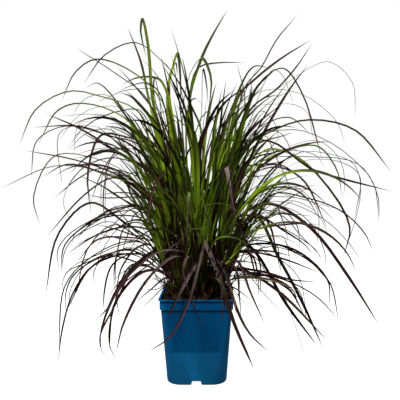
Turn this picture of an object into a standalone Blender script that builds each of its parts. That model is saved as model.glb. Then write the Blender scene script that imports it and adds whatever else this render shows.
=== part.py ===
"""A clump of green and purple fountain grass growing in a square plastic pot.

Metres, +Z up. The origin is the middle of the pot's foot, on the surface it stands on, and
the front is towards -Y. The pot, the soil, the crown and every shoot are separate pieces.
"""

import math
import random

import bmesh
import bpy
import numpy as np
from mathutils import Matrix, Vector
from mathutils.bvhtree import BVHTree

MM = 0.001
CM = 0.01
GAP = 0.3 * MM

# Pot: a thin moulded shell, square with round corners, tapering down to its foot
POT_HEIGHT = 188 * MM
FOOT_HALF = 66 * MM
FOOT_CORNER = 32 * MM
FOOT_ROUNDING = 2.5 * MM
BODY_TOP_HALF = 77.2 * MM
BAND_HALF = 79.8 * MM
BAND_HEIGHT = 23 * MM
LIP_HALF = 82.5 * MM
LIP_CORNER = 9 * MM
LIP_THICKNESS = 2 * MM
WALL = 1.8 * MM
ROUNDED_EDGE = 0.4 * MM
CORNER_STEPS = 3

# Drain channel: a raised cross in the floor, open in the middle of each side
CHANNEL_HEIGHT = 9 * MM
CHANNEL_FOOT_HALF = 12 * MM
CHANNEL_ROOF_HALF = 9 * MM
DRAIN_RADIUS = 4 * MM
DRAIN_SIDES = 10
DRAIN_SPACING = 38 * MM

# Soil, and the crown on it: a low lumpy mound, whose lumps repeat at this distance
SOIL_TOP = 175 * MM
CROWN_RADIUS = 68 * MM
CROWN_HEIGHT = 27 * MM
CROWN_SIDES = 14
CROWN_RINGS = 8
CROWN_LUMP = 2.5 * MM
LUMP_SPACING = 35 * MM

# Stems: planted in the crown, each with a blade at its top and others at joints lower down
STEM_FOOT = SOIL_TOP + 7 * MM
STEM_RADIUS = 2.3 * MM
STEM_TOP_RADIUS = 1.6 * MM
STEM_SIDES = 5
STEM_SPACING = 14 * MM
STEM_SHARE = 0.45
PLANTED_RADIUS = 58 * MM
PLANTING_ROUNDS = 200
HIGHEST_AIM = 0.5
LEAF_JOINTS = (1.0, 0.82, 0.64)

# Blades: how wide at the stem, how fast they widen and how late they narrow, the depth of
# their fold, how they are turned about their length, and how many straight steps they have
BASE_WIDTH = 0.3
WIDENING = 2.5
NARROWING = 2.2
THINNEST = 0.6 * MM
KEEL = 0.2
KEEL_THICKNESS = 0.3 * MM
ROLLS = (30, 47, 64, 81)
FEWEST_STEPS = 3
MOST_STEPS = 7
TURN_PER_STEP = 32
BEND_WORTH = 0.2

# How far a blade may go, and how far it may stray from its curve to pass the others
REACH = Vector((0.452, 0.42))
LOWEST = 12 * MM
TRIES = 300
STRAY_JOINT = 0.12
STRAY_DEPTH = 90 * MM
STRAY_TURN = 30
STRAY_LENGTH = 0.15
STRAY_ROLL = 60

# The blades below are given as they look from the front, seen from this point. A blade's
# first place has this share of its tip's depth.
EYE = Vector((0.041, -1.1765, 0.467))
FIRST_DEPTH = 0.3

# Every shoot has a few blades. A blade is its colour, its width in mm, how far behind the
# middle its tip lies in cm, and the places in cm (across, up) it passes on its way to the tip.
SHOOTS = (
    # tall ones in the middle
    (("green", 6, -5, (-10.2, 62.3), (-11.3, 75), (-12.6, 81.4), (-13.1, 79), (-11.7, 72.3)),
     ("green", 4, 8, (-11.2, 63), (-13, 71.5), (-16.1, 79.6)),
     ("purple", 4, 2, (-6.7, 65.3), (-8.5, 73.2))),
    (("green", 5, 3, (-7, 62.3), (-6, 69), (-4.6, 73.5), (-4, 69), (-3.8, 60.9)),
     ("green", 6, -4, (-3.5, 59.4), (-1.5, 69.5), (1, 72.4), (3.1, 68), (2.5, 60)),
     ("purple", 5, 6, (1, 60), (1.3, 69.9), (2, 67), (2.4, 62))),
    (("green", 6, 0, (-1.9, 62.3), (0.8, 72), (3, 76.8), (6.9, 83.6)),
     ("green", 3, 10, (-1.5, 66), (0.4, 70.3), (5.7, 71.4), (11, 71.3)),
     ("purple", 6, -8, (1, 53.5), (2.8, 57.6), (5.7, 60.9))),
    (("purple", 8, -10, (0.2, 50), (2.2, 56.8), (5, 62), (8.4, 65.1)),
     ("purple", 5, 4, (10.8, 65.5), (14.6, 70.2), (18.2, 76.7), (23.1, 82.5)),
     ("green", 6, 12, (7, 56), (9.5, 65), (13, 70.5), (17, 70))),
    # high on the left
    (("green", 5, -3, (-7.6, 61.4), (-14.6, 69), (-23.1, 72.2), (-28, 69.3), (-31.4, 62)),
     ("purple", 4, 11, (-11.1, 62.3), (-19, 69), (-28.1, 74.8)),
     ("purple", 4, -9, (-9.5, 59), (-13.1, 64.4), (-18.6, 70.7))),
    (("green", 4, 14, (-3.8, 65.5), (-8.2, 71.7), (-14.3, 76), (-21.5, 73), (-26.2, 66.3)),
     ("green", 6, 18, (-14.5, 55.5), (-19, 63), (-23.1, 66.7), (-26, 65.2)),
     ("green", 5, 2, (-13, 59.5), (-21.9, 63.5), (-29.5, 64.8), (-37.2, 60.6), (-41, 52.2))),
    (("green", 5, -14, (-15, 57), (-25.8, 62), (-32, 60.5), (-36.6, 52.5)),
     ("green", 4, 12, (-17, 52), (-24, 55.7), (-31, 56.7), (-37, 53.3), (-38.2, 44.7)),
     ("green", 3, 22, (-18, 54), (-27, 57), (-31.8, 55), (-31, 42.5))),
    (("purple", 8, 6, (-6.7, 42.8), (-19, 51.2), (-27, 56.2), (-35, 59.7)),
     ("purple", 5, -8, (-13, 52), (-20, 54.5), (-27.3, 56.8), (-38, 56.5)),
     ("purple", 6, -2, (-8.2, 39.6), (-19.9, 46.2), (-28, 49), (-39.8, 51.2))),
    (("purple", 7, -18, (-10, 51.5), (-14.9, 53.8), (-22, 54.8), (-25.2, 46), (-24.4, 36.5)),
     ("purple", 5, 15, (-12, 44), (-22.5, 47), (-27, 45), (-33, 40.2)),
     ("purple", 5, 24, (-10, 45), (-19, 49.5), (-26.3, 47.2), (-30.8, 41.5))),
    # out to the left
    (("green", 7, -4, (-11, 41), (-21.4, 45.8), (-29.9, 48), (-35.8, 45)),
     ("green", 3, 0, (-13, 42), (-22, 46.3), (-33, 47.6), (-45.2, 42.5)),
     ("green", 4, 10, (-14, 44), (-25, 49.8), (-33, 49.8), (-37.7, 40.3), (-36, 33.7))),
    (("purple", 5, -12, (-8, 38), (-14, 43), (-19.5, 44.9), (-26, 41), (-34.8, 31.2)),
     ("purple", 5, 8, (-7, 34), (-13.1, 37.2), (-21, 42.5), (-27.8, 45.7)),
     ("purple", 5, 20, (-7, 38), (-13, 40.3), (-21.4, 40.3), (-26, 41.2))),
    (("purple", 6, 3, (-9, 29.5), (-16, 34), (-24.5, 39.2), (-32, 32), (-35, 17.4)),
     ("purple", 5, -14, (-9, 36), (-13, 38.2), (-21.5, 36.8), (-28.6, 30)),
     ("purple", 4, 16, (-9, 33.5), (-14, 36), (-22.5, 35.5), (-30.5, 29.5), (-31.3, 22.3))),
    (("purple", 5, -7, (-9, 31.5), (-14.6, 33.7), (-22, 32.3), (-30.7, 27)),
     ("purple", 5, -22, (-9.5, 29.8), (-16.1, 31.2), (-23, 30.7), (-28.1, 24.9)),
     ("green", 5, 1, (-9.5, 28.5), (-16.1, 30.3), (-25, 26.3), (-30.5, 20), (-31.9, 5.3))),
    (("purple", 4, 24, (-7.5, 24.5), (-11, 26.6), (-16, 27.5), (-24.5, 24.3), (-30, 14.5)),
     ("purple", 5, -12, (-8.5, 28.2), (-11.7, 27), (-18, 20), (-22.3, 9), (-22, 5)),
     ("purple", 4, 28, (-9, 25.8), (-14, 27.6), (-19.5, 25), (-21.5, 18), (-21.4, 13.5))),
    # drooping over the front of the pot, left of the middle
    (("mauve", 7, -23, (0, 22), (-4.5, 27), (-11, 22.2), (-17, 11.5), (-18.8, 4)),
     ("mauve", 8, -26, (-2, 27), (-8, 28.2), (-16.7, 21.5), (-21, 14.5), (-24, 11.7)),
     ("purple", 3, -8, (-5, 22), (-12, 23.5), (-19, 16), (-20.3, 5))),
    (("purple", 4, -15, (-3, 20.7), (-7, 22), (-11, 19), (-14.6, 16)),
     ("mauve", 7, -19, (1, 26), (-0.3, 25), (-4, 18.5), (-7.1, 12.3)),
     ("mauve", 5, -16, (-2, 27), (-3.3, 24.5), (-2.3, 19))),
    (("mauve", 8, -24, (1.5, 30), (0.5, 25.5), (-2.6, 15), (-6.5, 8.2), (-12, 4.6)),
     ("green", 3, -17, (4, 22), (6, 19.5), (6.2, 16), (5.7, 12.2)),
     ("green", 4, -18, (1, 40), (1.9, 37.4), (2.6, 34.5), (5.1, 32.2))),
    # high on the right
    (("purple", 6, -6, (9.4, 63.5), (12.9, 67.3), (19.3, 72.4), (26.1, 76.6)),
     ("purple", 4, 9, (11.7, 60), (18.2, 65.3), (22.8, 70.5), (26.4, 76)),
     ("green", 4, 5, (12, 60), (20, 66.3), (30, 71.6), (35.6, 66.8), (36.2, 58.4))),
    (("green", 8, -13, (11, 58), (14.5, 67), (19.6, 70.1), (24, 64.5), (28.7, 48.8)),
     ("purple", 6, 2, (11, 47), (14.9, 54.7), (21, 65), (25.5, 71)),
     ("purple", 5, 16, (8, 49), (12.8, 56.3), (19.3, 61.9))),
    (("green", 8, 1, (7.9, 49.1), (15.8, 55), (25, 58.2), (36, 56), (44.5, 46.3)),
     ("purple", 4, -7, (10, 52.5), (21.1, 56.2), (31, 53.3), (41.6, 44.2)),
     ("green", 3, 13, (7, 58), (15, 64.9), (24, 64.1), (32, 57.8), (34, 52.4))),
    # out to the right
    (("purple", 8, -2, (10, 52.5), (17, 53.2), (26, 47), (34, 44.5), (44.7, 41.8)),
     ("green", 5, -17, (13, 47), (20, 51), (27.5, 52.2), (32, 46.8), (33.2, 40.3)),
     ("purple", 6, -24, (12, 45), (18, 47.4), (24, 44.7), (30, 33))),
    (("green", 7, 10, (9, 32), (13.8, 42.8), (18.2, 47.8), (24.6, 51.3)),
     ("green", 6, -10, (15, 51), (22, 50.2), (30, 42.8), (35, 33.5), (33.1, 25.8)),
     ("purple", 3, 6, (14, 48), (26, 49.7), (37, 48), (41.4, 41), (41.6, 34.3))),
    (("purple", 7, -3, (8, 34), (16, 39), (26, 33.4), (34.6, 22.3), (42, 10.6)),
     ("purple", 4, 14, (17, 41), (25, 40.3), (33, 37.3), (38.4, 32.2), (40.6, 27.3)),
     ("purple", 3, 20, (20, 47), (31, 49), (37.2, 45.5), (36, 35.2))),
    (("purple", 6, -11, (9, 30.5), (13.8, 33.1), (22, 34.3), (28.4, 34.2)),
     ("purple", 6, 18, (9.5, 36), (13.8, 38.5), (20, 40.5), (26.4, 41.6)),
     ("mauve", 6, -20, (8.5, 27.3), (12, 28.1), (17, 28), (22.1, 26.8))),
    (("purple", 5, -5, (8.5, 27.3), (12, 27.9), (20, 26.2), (28.4, 22.9)),
     ("purple", 5, 11, (9, 28.2), (14, 29.8), (22.5, 28.3), (29.9, 21.4), (30.3, 15)),
     ("purple", 3, 22, (10.5, 30), (20, 29), (30, 21.5), (32.5, 11.7))),
    (("purple", 6, -14, (6.5, 23.7), (10, 24), (15.2, 23.3), (21.5, 21.5), (27.8, 21)),
     ("straw", 6, -21, (7.5, 21.4), (12, 22), (18.2, 21.1), (22.4, 18.9)),
     ("purple", 5, 26, (8, 22.3), (14, 23), (21, 19.3), (24.6, 13.2))),
    (("green", 6, 4, (9, 33), (13.5, 36), (18.4, 27), (23.5, 17.5), (29.1, 5.3)),
     ("purple", 6, 15, (6.5, 31.2), (9, 31.3), (13.5, 27.6), (20, 16.5), (27.8, 5.9)),
     ("purple", 6, -15, (7, 23.2), (10.8, 23.5), (19, 18.5), (30, 7.3))),
    # drooping over the front of the pot, right of the middle
    (("mauve", 8, -13, (5.5, 46), (7, 46.6), (8.4, 38.5), (12.5, 26), (14.1, 18.8)),
     ("mauve", 8, -16, (-1.5, 32.5), (1, 31), (5.4, 20.8), (8.4, 11.5), (13, 0.9)),
     ("mauve", 8, -20, (4, 26.5), (6.7, 22.5), (9, 14.8), (12, 9.1), (16.6, 4.7))),
    (("purple", 5, -21, (7, 26), (9.4, 25.5), (12, 19), (15.5, 11.2)),
     ("purple", 4, -12, (5, 20.5), (8.5, 19.6), (12.7, 16.4)),
     ("purple", 4, -25, (6.5, 25), (8.8, 23.7), (9.6, 18), (10, 12.9))),
    # the longest ones to the front and to the back
    (("purple", 6, -42, (-4, 37), (-7, 46), (-9.5, 44), (-12, 33)),
     ("green", 6, 42, (-3, 44), (-5.5, 53), (-8, 53.5), (-9.5, 45)),
     ("green", 6, -30, (-3, 50), (-5, 58), (-7, 57), (-8.5, 50))),
)

# The other shoots fan out in the middle, and to the front and the back. Each row: how many,
# how far round they spread from front and back, the lean of the stem and of a blade's start
# from the vertical, the angle a blade ends at, and a blade's length in cm, from and to.
FAN = (
    (6, 90, 5, 8, 60, 34, 44),
    (6, 60, 13, 20, 112, 38, 48),
    (6, 50, 20, 34, 140, 34, 44),
)
FAN_TONES = ("green", "green", "purple")
FAN_HEIGHT = 0.32
FAN_WIDTHS = (4.5, 7.5)
FAN_STARTS = (0.6, 1.4)
FAN_ENDS = (0.75, 1.2)
SHOOT_SWING = 8
BLADE_SWING = 28
OUTER_LEAN = 24
ARCH_POWER = 1.6
SEED = 7

TONES = {
    "green": (0.10, 0.19, 0.02),
    "purple": (0.032, 0.012, 0.016),
    "mauve": (0.085, 0.06, 0.065),
    "straw": (0.22, 0.14, 0.05),
}


def material(name, color, roughness):
    """A plain Principled material."""
    made = bpy.data.materials.new(name)
    made.use_nodes = True
    shader = made.node_tree.nodes["Principled BSDF"]
    shader.inputs["Base Color"].default_value = (*color, 1)
    shader.inputs["Roughness"].default_value = roughness
    shader.inputs["Metallic"].default_value = 0
    made.diffuse_color = (*color, 1)
    return made


def add_object(name, mesh, collection, finish=None):
    """An object of this mesh in a collection, with its material."""
    made = bpy.data.objects.new(name, mesh)
    collection.objects.link(made)
    if finish:
        mesh.materials.append(finish)
    return made


def add_cutter(name, mesh):
    """A tool for a Boolean, kept out of the model."""
    made = add_object(name, mesh, tools)
    made.hide_render = True
    made.display_type = "WIRE"
    return made


def boolean(piece, tool, operation="DIFFERENCE"):
    """Cut a piece with a tool, or join the tool to it."""
    change = piece.modifiers.new(tool.name, "BOOLEAN")
    change.operation = operation
    change.solver = "EXACT"
    change.object = tool


def finish_mesh(bm, name):
    """Turn an edited mesh into mesh data, faces outwards."""
    bmesh.ops.recalc_face_normals(bm, faces=bm.faces)
    mesh = bpy.data.meshes.new(name)
    bm.to_mesh(mesh)
    bm.free()
    return mesh


# ---------------------------------------------------------------- pot and soil

def rounded_square(half, corner, height):
    """Points round a square with round corners, seen from above."""
    points = []
    for quarter in range(4):
        middle = math.radians(90 * quarter + 45)
        centre = Vector((math.copysign(half - corner, math.cos(middle)),
                         math.copysign(half - corner, math.sin(middle)), height))
        for step in range(CORNER_STEPS + 1):
            angle = math.radians(90 * (quarter + step / CORNER_STEPS))
            points.append(centre + corner * Vector((math.cos(angle), math.sin(angle), 0)))
    return points


def loft(name, sections):
    """A closed solid through rounded squares, each (height, half width, corner radius)."""
    bm = bmesh.new()
    rings = []
    for height, half, corner in sections:
        rings.append([bm.verts.new(point) for point in rounded_square(half, corner, height)])
    count = len(rings[0])
    for lower, upper in zip(rings, rings[1:]):
        for i in range(count):
            j = (i + 1) % count
            bm.faces.new((lower[i], lower[j], upper[j], upper[i]))
    bm.faces.new(rings[0])
    bm.faces.new(rings[-1])
    return finish_mesh(bm, name)


def channel_bar(name, turn, grow):
    """A bar across the foot with sloping sides, as deep below z = 0 as it is high."""
    bm = bmesh.new()
    bmesh.ops.create_cube(bm, size=2)
    reach = 2 * FOOT_HALF
    roof = CHANNEL_HEIGHT + grow
    for vert in bm.verts:
        slope = CHANNEL_FOOT_HALF - CHANNEL_ROOF_HALF
        half = CHANNEL_FOOT_HALF + grow - math.copysign(slope, vert.co.z)
        vert.co = (math.copysign(half, vert.co.x), math.copysign(reach, vert.co.y),
                   math.copysign(roof, vert.co.z))
    bmesh.ops.rotate(bm, verts=bm.verts, matrix=Matrix.Rotation(turn, 3, "Z"))
    return add_cutter(name, finish_mesh(bm, name))


def build_pot():
    """The pot: a thin shell with a rim band, a lip and a cross-shaped drain channel."""
    body_top = POT_HEIGHT - BAND_HEIGHT
    lip_foot = POT_HEIGHT - LIP_THICKNESS
    edge = ROUNDED_EDGE
    mid_arc = FOOT_ROUNDING * (1 - math.sqrt(0.5))
    outside = (
        (0, FOOT_HALF - FOOT_ROUNDING, FOOT_CORNER - FOOT_ROUNDING),
        (mid_arc, FOOT_HALF - mid_arc, FOOT_CORNER - mid_arc),
        (FOOT_ROUNDING, FOOT_HALF, FOOT_CORNER),
        (body_top, BODY_TOP_HALF, LIP_CORNER + 2 * MM),
        (body_top + edge, BAND_HALF - 2 * edge, LIP_CORNER + 2 * MM),
        (body_top + 3 * edge, BAND_HALF, LIP_CORNER + 2 * MM),
        (lip_foot, BAND_HALF, LIP_CORNER),
        (lip_foot, LIP_HALF, LIP_CORNER),
        (POT_HEIGHT - edge, LIP_HALF, LIP_CORNER),
        (POT_HEIGHT, LIP_HALF - edge, LIP_CORNER),
    )
    inside = (
        (WALL, FOOT_HALF - FOOT_ROUNDING - WALL, FOOT_CORNER - 2 * WALL),
        (WALL + FOOT_ROUNDING, FOOT_HALF - WALL, FOOT_CORNER - WALL),
        (body_top, BODY_TOP_HALF - WALL, LIP_CORNER),
        (body_top + 3 * edge, BAND_HALF - WALL, LIP_CORNER),
        (POT_HEIGHT + WALL, BAND_HALF - WALL, LIP_CORNER),
    )
    pot = add_object("pot", loft("pot", outside), model,
                     material("Blue plastic", (0.004, 0.055, 0.12), 0.4))
    cavity = add_cutter("Pot cavity", loft("Pot cavity", inside))
    for side, turn in (("across", 0), ("along", math.radians(90))):
        boolean(pot, channel_bar(f"Channel {side}", turn, 0))
        boolean(cavity, channel_bar(f"Channel wall {side}", turn, WALL))
    boolean(pot, cavity)

    holes = bmesh.new()
    for x, y in ((0, 0), (1, 0), (-1, 0), (0, 1), (0, -1)):
        place = Matrix.Translation((x * DRAIN_SPACING, y * DRAIN_SPACING, CHANNEL_HEIGHT))
        bmesh.ops.create_cone(holes, cap_ends=True, segments=DRAIN_SIDES, depth=8 * WALL,
                              radius1=DRAIN_RADIUS, radius2=DRAIN_RADIUS, matrix=place)
    boolean(pot, add_cutter("Drain holes", finish_mesh(holes, "Drain holes")))
    pot.data.shade_smooth()
    pot.data.set_sharp_from_angle(angle=math.radians(30))


def build_soil():
    """The potting mix: it fills the pot to just under the rim band's top."""
    body_top = POT_HEIGHT - BAND_HEIGHT
    inset = WALL + 2 * GAP
    filling = (
        (WALL + GAP, FOOT_HALF - FOOT_ROUNDING - inset, FOOT_CORNER - 2 * WALL),
        (WALL + FOOT_ROUNDING + GAP, FOOT_HALF - inset, FOOT_CORNER - WALL),
        (body_top + GAP, BODY_TOP_HALF - inset, LIP_CORNER),
        (body_top + 3 * (ROUNDED_EDGE + GAP), BAND_HALF - inset, LIP_CORNER),
        (SOIL_TOP, BAND_HALF - inset, LIP_CORNER),
    )
    soil = add_object("soil", loft("soil", filling), model,
                      material("Potting mix", (0.03, 0.018, 0.011), 0.95))
    for side, turn in (("across", 0), ("along", math.radians(90))):
        boolean(soil, channel_bar(f"Soil channel {side}", turn, WALL + GAP))


# ---------------------------------------------------------------- shoots

def seen_at(across, up, depth):
    """The place at this depth that the eye sees at (across, up) of the middle plane."""
    flat = Vector((across, 0, up))
    return EYE + (flat - EYE) * ((depth - EYE.y) / -EYE.y)


def smooth_curve(points, steps=10):
    """A smooth curve through the points, with its corners rounded by their distances."""
    ends = [2 * points[0] - points[1], *points, 2 * points[-1] - points[-2]]
    curve = [points[0]]
    for a, b, c, d in zip(ends, ends[1:], ends[2:], ends[3:]):
        near, span, far = ((q - p).length ** 0.5 for p, q in ((a, b), (b, c), (c, d)))
        start = ((b - a) / near - (c - a) / (near + span) + (c - b) / span) * span
        stop = ((c - b) / span - (d - b) / (span + far) + (d - c) / far) * span
        for step in range(1, steps + 1):
            t = step / steps
            curve.append((2 * t ** 3 - 3 * t ** 2 + 1) * b + (t ** 3 - 2 * t ** 2 + t) * start
                         + (3 * t ** 2 - 2 * t ** 3) * c + (t ** 3 - t ** 2) * stop)
    return curve


def spread_evenly(curve):
    """The same curve in a few steps, more and shorter ones where it bends."""
    legs = [q - p for p, q in zip(curve, curve[1:])]
    length = sum(leg.length for leg in legs)
    worth = [0.0]
    for before, leg in zip([legs[0], *legs], legs):
        worth.append(worth[-1] + leg.length / length + before.angle(leg) * BEND_WORTH)
    bend = math.degrees((worth[-1] - 1) / BEND_WORTH)
    steps = min(MOST_STEPS, FEWEST_STEPS + round(bend / TURN_PER_STEP))
    marks = np.linspace(0, worth[-1], steps + 1)
    axes = [np.interp(marks, worth, [point[axis] for point in curve]) for axis in range(3)]
    return [Vector(place) for place in zip(*axes)]


def blade_frames(curve, roll):
    """For each point of a blade: the directions of its width and of its keel."""
    run = curve[-1] - curve[0]
    level = Vector((-run.y, run.x, 0)).normalized()
    frames = []
    for i, point in enumerate(curve):
        along = (curve[min(i + 1, len(curve) - 1)] - curve[max(i - 1, 0)]).normalized()
        side = (level - along * level.dot(along)).normalized()
        under = side.cross(along)
        turn = math.radians(roll)
        frames.append((side * math.cos(turn) + under * math.sin(turn),
                       under * math.cos(turn) - side * math.sin(turn)))
    return frames


def blade_width(share):
    """How wide a blade is along its length, as a share of its full width."""
    return min(1, BASE_WIDTH + WIDENING * share) * (1 - share ** NARROWING)


def add_blade(bm, curve, width, roll, margin=0):
    """A keeled blade that narrows to a point, on a curve."""
    steps = len(curve) - 1
    rings = []
    for i, (point, (side, under)) in enumerate(zip(curve, blade_frames(curve, roll))):
        if i == steps:
            break
        half = max(width * blade_width(i / steps), THINNEST) / 2 + margin
        keel = 2 * half * KEEL + KEEL_THICKNESS
        rings.append([bm.verts.new(point + side * half - under * margin),
                      bm.verts.new(point - side * half - under * margin),
                      bm.verts.new(point + under * (keel + margin))])
    tip = bm.verts.new(curve[-1] + (curve[-1] - curve[-2]).normalized() * margin)
    for first, second in zip(rings, rings[1:]):
        for i in range(3):
            j = (i + 1) % 3
            bm.faces.new((first[i], first[j], second[j], second[i]))
    for i in range(3):
        bm.faces.new((rings[-1][i], rings[-1][(i + 1) % 3], tip))
    bm.faces.new(rings[0][::-1])


def add_stem(bm, foot, top, top_radius=STEM_TOP_RADIUS, margin=0):
    """A stem from foot to top, a little thinner at its top."""
    along = top - foot
    turned = along.to_track_quat("Z", "Y").to_matrix().to_4x4()
    bmesh.ops.create_cone(bm, cap_ends=True, segments=STEM_SIDES,
                          radius1=STEM_RADIUS + margin, radius2=top_radius + margin,
                          depth=along.length + 2 * margin,
                          matrix=Matrix.Translation((foot + top) / 2) @ turned)


def hand_placed():
    """The shoots of the table: where each one aims, and how far out it is planted."""
    shoots = []
    for blades in SHOOTS:
        starts = [seen_at(b[3][0] * CM, b[3][1] * CM, FIRST_DEPTH * b[2] * CM) for b in blades]
        aim = sum(starts, Vector()) / len(starts)
        out = Vector((sum(b[-1][0] + b[3][0] for b in blades), 2 * sum(b[2] for b in blades)))
        rise = (aim.z - STEM_FOOT) / HIGHEST_AIM
        shoots.append({"aim": aim, "blades": blades,
                       "foot": out.normalized() * PLANTED_RADIUS * (1 - rise) ** 0.6})
    return shoots


def fanned(dice):
    """The shoots that fill the clump in the middle, at the front and at the back."""
    shoots = []
    for count, spread, lean, start, end, shortest, longest in FAN:
        for index in range(count):
            side = -1 if index % 2 else 1
            swing = spread * (2 * ((index // 2) + 0.5) / ((count + 1) // 2) - 1)
            around = math.radians(side * 90 + swing + dice.uniform(-SHOOT_SWING, SHOOT_SWING))
            out = Vector((math.cos(around), math.sin(around)))
            foot = out * PLANTED_RADIUS * min(1, lean / OUTER_LEAN)
            aim = (foot + out * FAN_HEIGHT * math.tan(math.radians(lean))).to_3d()
            aim.z = STEM_FOOT + FAN_HEIGHT
            blades = []
            for tone in FAN_TONES:
                turned = around + math.radians(dice.uniform(-BLADE_SWING, BLADE_SWING))
                blades.append((tone, dice.uniform(*FAN_WIDTHS), turned,
                               start * dice.uniform(*FAN_STARTS), end * dice.uniform(*FAN_ENDS),
                               dice.uniform(shortest, longest) * CM))
            shoots.append({"aim": aim, "blades": blades, "foot": foot})
    return shoots


def arching(start, around, first, last, length, steps=24):
    """A curve that leaves at one angle from the vertical and bends over to another."""
    curve = [start.copy()]
    for step in range(steps):
        share = (step + 0.5) / steps
        angle = math.radians(first + (last - first) * share ** ARCH_POWER)
        out = math.sin(angle) * length / steps
        curve.append(curve[-1] + Vector((math.cos(around) * out, math.sin(around) * out,
                                         math.cos(angle) * length / steps)))
    return curve


def plant(shoots):
    """Give each stem a place of its own in the crown, and lean it to where it aims."""
    feet = [shoot["foot"] for shoot in shoots]
    for turn in range(PLANTING_ROUNDS):
        for i, foot in enumerate(feet):
            for j in range(i):
                apart = foot - feet[j]
                short = STEM_SPACING - apart.length
                if short > 0:
                    foot += apart.normalized() * short / 2
                    feet[j] -= apart.normalized() * short / 2
        for foot in feet:
            if foot.length > PLANTED_RADIUS:
                foot *= PLANTED_RADIUS / foot.length
    for shoot in shoots:
        shoot["foot"] = shoot["foot"].to_3d()
        shoot["foot"].z = STEM_FOOT
        shoot["top"] = shoot["foot"].lerp(shoot["aim"], STEM_SHARE)


def blade_curve(shoot, number, blade, stray):
    """The curve of one blade, which may stray a little from where it was meant to go."""
    joint = LEAF_JOINTS[number] - STRAY_JOINT * abs(stray.x)
    start = shoot["foot"].lerp(shoot["top"], joint)
    start -= (shoot["top"] - shoot["foot"]).normalized() * 1.5 * STEM_RADIUS
    if isinstance(blade[3], tuple):
        tip_depth = blade[2] * CM + stray.y * STRAY_DEPTH
        flat = [Vector((x, z)) * CM for x, z in blade[3:]]
        spans = [(flat[0] - Vector((start.x, start.z))).length]
        spans += [(q - p).length for p, q in zip(flat, flat[1:])]
        places = []
        for i, spot in enumerate(flat):
            share = sum(spans[:i + 1]) / sum(spans)
            places.append(seen_at(spot.x, spot.y, start.y + (tip_depth - start.y) * share))
        curve = smooth_curve([start, *places])
    else:
        around, first, last, length = blade[2:]
        curve = arching(start, around + math.radians(STRAY_TURN) * stray.y, first, last,
                        length * (1 - STRAY_LENGTH * abs(stray.x)))
    return spread_evenly(curve)


def blade_roll(shoot_number, number):
    """How far a blade is turned about its own length, in degrees, to one side or the other."""
    roll = ROLLS[(shoot_number - number) % len(ROLLS)]
    return roll if (shoot_number + number) % 2 == 0 else -roll


def tree_of(bm):
    """A search tree of a mesh, which frees the mesh."""
    tree = BVHTree.FromBMesh(bm)
    bm.free()
    return tree


def grow(shoots):
    """Choose each blade's curve, so that no shoot runs into another."""
    grown = []
    for shoot in shoots:
        bm = bmesh.new()
        add_stem(bm, shoot["foot"], shoot["top"], margin=GAP)
        grown.append([tree_of(bm)])
        shoot["grown"] = []
    for number in range(len(LEAF_JOINTS)):
        for index, shoot in enumerate(shoots):
            blade = shoot["blades"][number]
            dice = random.Random(100 * index + number)
            others = [tree for place, trees in enumerate(grown) if place != index
                      for tree in trees]
            for attempt in range(TRIES):
                stray = Vector((dice.uniform(-1, 1), dice.uniform(-1, 1), dice.uniform(-1, 1)))
                stray *= attempt / TRIES
                roll = blade_roll(index, number) + STRAY_ROLL * stray.z
                curve = blade_curve(shoot, number, blade, stray)
                if any(abs(point.x) > REACH.x or abs(point.y) > REACH.y or point.z < LOWEST
                       for point in curve):
                    continue
                bm = bmesh.new()
                add_blade(bm, curve, blade[1] * MM, roll, GAP)
                tree = tree_of(bm)
                if not any(tree.overlap(other) for other in others):
                    grown[index].append(tree)
                    shoot["grown"].append((blade[0], curve, blade[1] * MM, roll))
                    break


def build_shoot(name, shoot):
    """One shoot: its stem and its blades, joined in one body."""
    stem = bmesh.new()
    add_stem(stem, shoot["foot"], shoot["top"])
    body = add_object(name, finish_mesh(stem, name), model)
    for tone, curve, width, roll in shoot["grown"]:
        leaf = bmesh.new()
        add_blade(leaf, curve, width, roll)
        leaf_tool = add_cutter(f"{name} blade", finish_mesh(leaf, "blade"))
        boolean(body, leaf_tool, "UNION")
        view = bpy.context.evaluated_depsgraph_get()
        body.data = bpy.data.meshes.new_from_object(body.evaluated_get(view))
        body.modifiers.clear()
        bpy.data.objects.remove(leaf_tool)
    tones = [tone for tone, *rest in shoot["grown"]]
    tone = max(TONES, key=tones.count)
    body.data.name = name
    body.data.materials.clear()
    body.data.materials.append(material(f"Blades {name}", TONES[tone], 0.5))


def build_crown(shoots):
    """The crown: the low mound of old stem bases, with a socket for every shoot."""
    bm = bmesh.new()
    bmesh.ops.create_uvsphere(bm, u_segments=CROWN_SIDES, v_segments=CROWN_RINGS,
                              radius=CROWN_RADIUS)
    foot = CROWN_RADIUS / 20
    bmesh.ops.bisect_plane(bm, geom=[*bm.verts, *bm.edges, *bm.faces], plane_co=(0, 0, foot),
                           plane_no=(0, 0, 1), clear_inner=True)
    bmesh.ops.edgeloop_fill(bm, edges=[edge for edge in bm.edges if edge.is_boundary])
    wave = 2 * math.pi / LUMP_SPACING
    for vert in bm.verts:
        x, y, z = vert.co
        lump = CROWN_LUMP * math.sin(x * wave) * math.cos(y * wave) if z > 2 * foot else 0
        vert.co.z = SOIL_TOP + GAP + (z - foot) * CROWN_HEIGHT / CROWN_RADIUS + lump
    crown = add_object("crown", finish_mesh(bm, "crown"), model,
                       material("Old stem bases", (0.09, 0.055, 0.03), 0.85))
    sockets = bmesh.new()
    for shoot in shoots:
        along = (shoot["top"] - shoot["foot"]).normalized()
        add_stem(sockets, shoot["foot"], shoot["foot"] + along * 1.3 * CROWN_HEIGHT,
                 top_radius=STEM_RADIUS, margin=1.5 * GAP)
    boolean(crown, add_cutter("Stem sockets", finish_mesh(sockets, "Stem sockets")))
    crown.modifiers[0].use_self = True


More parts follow.
